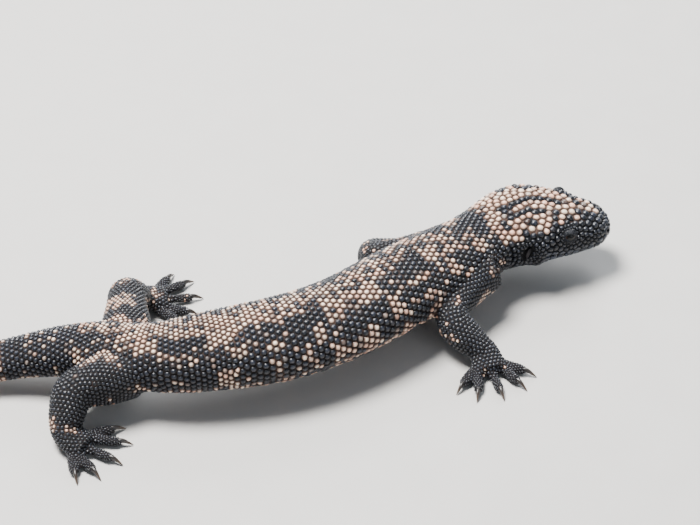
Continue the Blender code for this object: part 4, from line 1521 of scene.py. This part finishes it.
def neighbours(points: Array, count: int) -> tuple[Array, Array, Array]:
    """The nearest other points of each point, the vectors to them and their distances."""
    tree = tree_of(points)
    near = np.array([[f[1] for f in tree.find_n(p, count + 1)][1:] for p in points.tolist()])
    vectors = points[near] - points[:, None]
    return near, vectors, np.linalg.norm(vectors, axis=2)


# ---------------------------------------------------------------- eyes, lids, claws


@dataclass
class Eyes:
    """Eyeballs in their sockets, and the ring of lids round each."""

    form: Form
    rings: int = 36
    sides: int = 48
    lid_rings: int = 46
    lid_sides: int = 192
    opening: tuple[float, float] = (50.0, 32.0)
    lid_reach: float = 106.0
    lid_thick: float = 0.55
    granule: float = 0.66
    granules: int = 26
    gaze_up: float = 16.0

    def gaze(self, side: float) -> tuple[Array, Array, Array]:
        """Directions back, outwards and up of an eye that looks a little above level."""
        back, left, up = self.form.head_axes(self.form.head.eye_at)
        c, d = math.cos(math.radians(self.gaze_up)), math.sin(math.radians(self.gaze_up))
        return back, left * (side * c) + up * d, up * c - left * (side * d)

    def eyeball(self, name: str, side: float) -> bpy.types.Object:
        """A sphere by its angle from the middle of the pupil, which looks outwards."""
        head = self.form.head
        back, axis, up = self.gaze(side)
        polar = np.linspace(0, np.pi, self.rings)[1:-1, None]
        turn = np.arange(self.sides)[None] / self.sides * 2 * np.pi
        shape = np.cos(polar)[..., None] * axis + (np.sin(polar) * np.cos(turn))[..., None] * back
        shape = shape + (np.sin(polar) * np.sin(turn))[..., None] * up
        centre = self.form.eye_centre(side)
        grid = centre + shape * head.eye_radius
        points, faces = closed_sweep(grid, centre + axis * head.eye_radius, centre - axis * head.eye_radius)
        made = mesh_object(name, points, turned_out(points, faces))
        ring = np.r_[np.repeat(polar[:, 0] / np.pi, self.sides), 0.0, 1.0]
        set_attribute(made, "ring", ring)
        return made

    def lids(self, name: str, side: float) -> bpy.types.Object:
        """Two lids as one ring on the eyeball: an almond opening with a rolled margin, granules, and a tucked edge.

        The angle from the eye's axis runs from the almond's edge to past the socket's rim, and the distance
        from the eye's middle rises quickly over the margin and falls till the outer edge is inside the skin.
        A granule's height is (1 - 4 (u ** 2 + v ** 2)) ** 0.7, with u and v from its middle in staggered rings.

        Args:
            name: the piece's name.
            side: 1 for the left side and -1 for the right.

        Returns:
            The piece, with numbers pale, tone and crown.
        """
        head = self.form.head
        back, axis, up = self.gaze(side)
        turn = np.arange(self.lid_sides)[None] / self.lid_sides * 2 * np.pi
        c, d = np.cos(turn), np.sin(turn)
        wide, high = (math.radians(a) for a in self.opening)
        edge = ((np.abs(c) / wide) ** 1.6 + (np.abs(d) / high) ** 1.6) ** (-1 / 1.6)
        outer = math.radians(self.lid_reach)
        share = np.linspace(0, 1, self.lid_rings)[:, None] ** 1.15
        profile = smooth(share, (0, 0.02, 0.06, 0.12, 0.25, 0.5, 0.75, 1.0), (-0.15, 0.2, 0.5, 0.7, 0.72, 0.6, 0.2, -0.5))
        polar = edge + share * (outer - edge)
        arc = (polar - edge) * (head.eye_radius + self.lid_thick)
        row = (arc - 0.32) / self.granule
        ring = np.floor(row)
        column = turn / (2 * np.pi) * self.granules + 0.5 * (ring % 2)
        away = (row - ring - 0.5) ** 2 + (column - np.floor(column) - 0.5) ** 2
        dome = np.clip(1 - 4 * away, 0, 1) ** 0.7
        distance = head.eye_radius + profile * self.lid_thick + 0.26 * dome * ramp(arc, 0.3, 0.42)
        shape = np.cos(polar)[..., None] * axis + (np.sin(polar) * c)[..., None] * back
        shape = shape + (np.sin(polar) * d)[..., None] * up
        points = (self.form.eye_centre(side) + shape * distance[..., None]).reshape(-1, 3)
        faces = swept_faces(len(share), turn.shape[1])
        outwards = points[faces[:, 0]] - self.form.eye_centre(side)
        edge_one = points[faces[:, 1]] - points[faces[:, 0]]
        edge_two = points[faces[:, 3]] - points[faces[:, 0]]
        if (np.cross(edge_one, edge_two) * outwards).sum() < 0:
            faces = faces[:, ::-1]
        made = mesh_object(name, points, [faces])
        # crown is each granule's dome: the finish paints black between granules (painted shade), and tone rising with
        # it makes the tops slightly lighter slate (painted highlight)
        crown = np.where(arc < 0.32, 0.7, dome).ravel()
        for word, values in (("pale", 0 * crown), ("tone", 0.15 * crown), ("crown", crown)):
            set_attribute(made, word, values)
        return made

    def build(self) -> None:
        """Make and dress both eyes and their lids."""
        wet, granular = EyeFinish().material(), BeadFinish(name="lid_granules", shine=0.22).material()
        for side, word in ((1.0, "left"), (-1.0, "right")):
            ball = self.eyeball(f"eyeball_{word}", side)
            ball.data.materials.append(wet)
            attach(ball, "root")
            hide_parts(f"eye_{word}")
            lids = self.lids(f"lids_{word}", side)
            lids.data.materials.append(granular)
            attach(lids, "root")


@dataclass
class Nostrils:
    """A raised oval rim round each nostril, which falls inside to a closed pit."""

    form: Form
    depth: float
    sides: int = 40
    reach: tuple[float, ...] = (2.6, 2.35, 2.0, 1.6, 1.25, 1.05, 0.92, 0.8, 0.62, 0.4, 0.2)
    rise: tuple[float, ...] = (-0.6, 0.05, 0.48, 0.66, 0.62, 0.42, 0.05, -0.45, -1.0, -1.4, -1.6)
    oval: tuple[float, float] = (1.15, 0.88)

    def rim(self, name: str, side: float) -> bpy.types.Object:
        """One rim: ovals by a reach along the head's surface and a rise out of it, closed at the pit's bottom.

        Args:
            name: the piece's name.
            side: 1 for the left side and -1 for the right.

        Returns:
            The piece, with numbers pale, tone and crown.
        """
        head, step = self.form.head, np.array((-0.5, 0.5))
        centre = self.form.on_head(head.nostril_at, side, head.nostril_rise, -self.depth)
        back = unit(np.diff(self.form.on_head(head.nostril_at + step, side, head.nostril_rise + 0 * step), axis=0)[0])
        rising = np.diff(self.form.on_head(head.nostril_at + 0 * step, side, head.nostril_rise + step), axis=0)[0]
        out = unit(np.cross(back, rising)) * side
        up = np.cross(back, out) * side
        turn = np.arange(self.sides) / self.sides * 2 * np.pi
        flat = self.oval[0] * np.cos(turn)[:, None] * back + self.oval[1] * np.sin(turn)[:, None] * up
        rise = np.array(self.rise)
        grid = centre + np.array(self.reach)[:, None, None] * flat + rise[:, None, None] * out
        points, faces = closed_sweep(grid, centre - out, centre + out * rise[-1])
        made = mesh_object(name, points, turned_out(points, faces))
        # crown follows the rise, so the finish paints the pit and the rim's foot black: painted shade in the recess
        crown = np.r_[np.repeat(np.clip(0.35 + rise, 0, 1), self.sides), 0.0, 0.0]
        for word, values in (("pale", 0 * crown), ("tone", 0.25 + 0 * crown), ("crown", crown)):
            set_attribute(made, word, values)
        return made

    def build(self) -> None:
        """Make and dress both rims."""
        finish = BeadFinish(name="nostril_rim").material()
        for side, word in ((1.0, "left"), (-1.0, "right")):
            made = self.rim(f"nostril_{word}", side)
            made.data.materials.append(finish)
            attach(made, "root")


@dataclass
class Claws:
    """Curved claws, each a cone swept along an arc that bends down to the floor."""

    form: Form
    rings: int = 14
    sides: int = 14

    def claw(self, start: Array, ahead: Array) -> tuple[Array, list[Array], Array]:
        """One claw: its middle line is level at first and then falls with the square of the way along.

        Args:
            start: root of the claw in the toe.
            ahead: level direction.

        Returns:
            Points, faces and the share of the length for each point.
        """
        form = self.form
        long = form.claw_long + 0.5
        t = np.linspace(0, 1, self.rings)
        drop = 0.35 * np.sin(np.pi * np.minimum(t * 1.6, 1)) - (start[2] - 0.45) * t**2
        line = start + ahead * (long * t)[:, None] + np.array((0, 0, 1.0)) * drop[:, None]
        radius = form.claw_radius * (1 - t) ** 0.7 * (1 - 0.1 * t) + 0.12
        side = np.cross((0, 0, 1.0), ahead)
        tangent = unit(np.gradient(line, axis=0))
        up = np.cross(tangent, side)
        turn = np.arange(self.sides) / self.sides * 2 * np.pi
        across = np.cos(turn) * 0.82
        height = np.where(np.sin(turn) > 0, 1.12, 0.85) * np.sin(turn)
        grid = line[:, None] + radius[:, None, None] * (across[:, None] * side + height[:, None] * up[:, None])
        points, faces = closed_sweep(grid, line[0], line[-1] + tangent[-1] * 0.12)
        points[:, 2] = np.maximum(points[:, 2], 0.05)
        return points, faces, np.r_[np.repeat(t, self.sides), 0.0, 1.0]

    def build(self) -> None:
        """Make and dress the claws of each foot."""
        finish = ClawFinish().material()
        for limb, places in self.form.claws.items():
            parts = [self.claw(start, ahead) for start, ahead in places]
            points, faces = merged([(p, f) for p, f, _ in parts])
            made = mesh_object(f"claws_{limb}", points, faces)
            set_attribute(made, "along", np.concatenate([a for _, _, a in parts]))
            made.data.materials.append(finish)
            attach(made, "root")


@dataclass
class Studio:
    """Plain pale floor, soft light and the camera at the photograph's viewing angle."""

    camera_place: tuple[float, float, float] = (0.05985, -0.8344, 0.7592)
    camera_drop: float = 40.0
    lens: float = 113.7
    sensor: float = 36.0
    floor_size: float = 12.0

    def build(self) -> None:
        """Lay the floor, hang the lights and set the camera."""
        half = self.floor_size / 2 / MM
        corners = np.array(((-half, -half, 0), (half, -half, 0), (half, half, 0), (-half, half, 0)))
        floor = mesh_object("floor", corners, [np.array(((0, 1, 2, 3),))])
        floor.data.materials.append(FloorFinish().material())
        self.light("key", (-0.5, 0.30, 1.8), 0.7, 150.0, (1.0, 0.985, 0.96))
        self.light("fill", (1.2, -1.5, 1.1), 1.2, 9.0, (0.88, 0.94, 1.0))
        self.light("back", (0.5, 1.6, 1.1), 0.9, 36.0, (0.94, 0.97, 1.0))
        world = bpy.data.worlds.new("studio")
        world.use_nodes = True
        background = world.node_tree.nodes["Background"]
        background.inputs["Color"].default_value = (0.78, 0.87, 1.0, 1.0)
        background.inputs["Strength"].default_value = 0.30
        bpy.context.scene.world = world
        self.camera()

    def light(self, name: str, place: tuple, size: float, power: float, colour: tuple) -> None:
        """One soft square light that faces the animal."""
        data = bpy.data.lights.new(name, "AREA")
        data.size, data.energy, data.color = size, power, colour
        made = bpy.data.objects.new(name, data)
        made.location = place
        made.rotation_euler = (Vector((0.05, 0, 0.02)) - Vector(place)).to_track_quat("-Z", "Y").to_euler()
        bpy.context.scene.collection.objects.link(made)

    def camera(self) -> None:
        """The camera, level from side to side and looking down along +Y."""
        data = bpy.data.cameras.new("camera")
        data.lens, data.sensor_width, data.sensor_fit = self.lens, self.sensor, "HORIZONTAL"
        data.clip_start, data.clip_end = 0.05, 50.0
        made = bpy.data.objects.new("camera", data)
        made.location = self.camera_place
        made.rotation_euler = (math.radians(90 - self.camera_drop), 0.0, 0.0)
        bpy.context.scene.collection.objects.link(made)
        bpy.context.scene.camera = made


def dress_eardrums() -> None:
    """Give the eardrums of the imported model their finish."""
    finish = EardrumFinish().material()
    for name in ("eardrum_left", "eardrum_right"):
        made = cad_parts[name]
        for place in made.material_slots:
            place.material = finish


def main() -> None:
    """Build every piece in order."""
    logging.basicConfig(level=logging.INFO, format="%(message)s", stream=sys.stdout)
    form, markings = Form(), Markings()
    skin = Skin(form, markings)
    skin.build()
    skin.dress()
    LOG.info("skin: %d faces", len(skin.object.data.polygons))
    coat = Coat(form, skin, markings)
    pieces = coat.build()
    coat.dress(pieces)
    for zone, piece in pieces.items():
        LOG.info("%s: %d triangles", zone.value, len(piece.data.loops) - 2 * len(piece.data.polygons))
    Eyes(form).build()
    Nostrils(form, skin.head_depth).build()
    Claws(form).build()
    dress_eardrums()
    Studio().build()
    LOG.info("eyes, lids, claws, eardrums and studio are made")


if __name__ == "__main__":
    main()
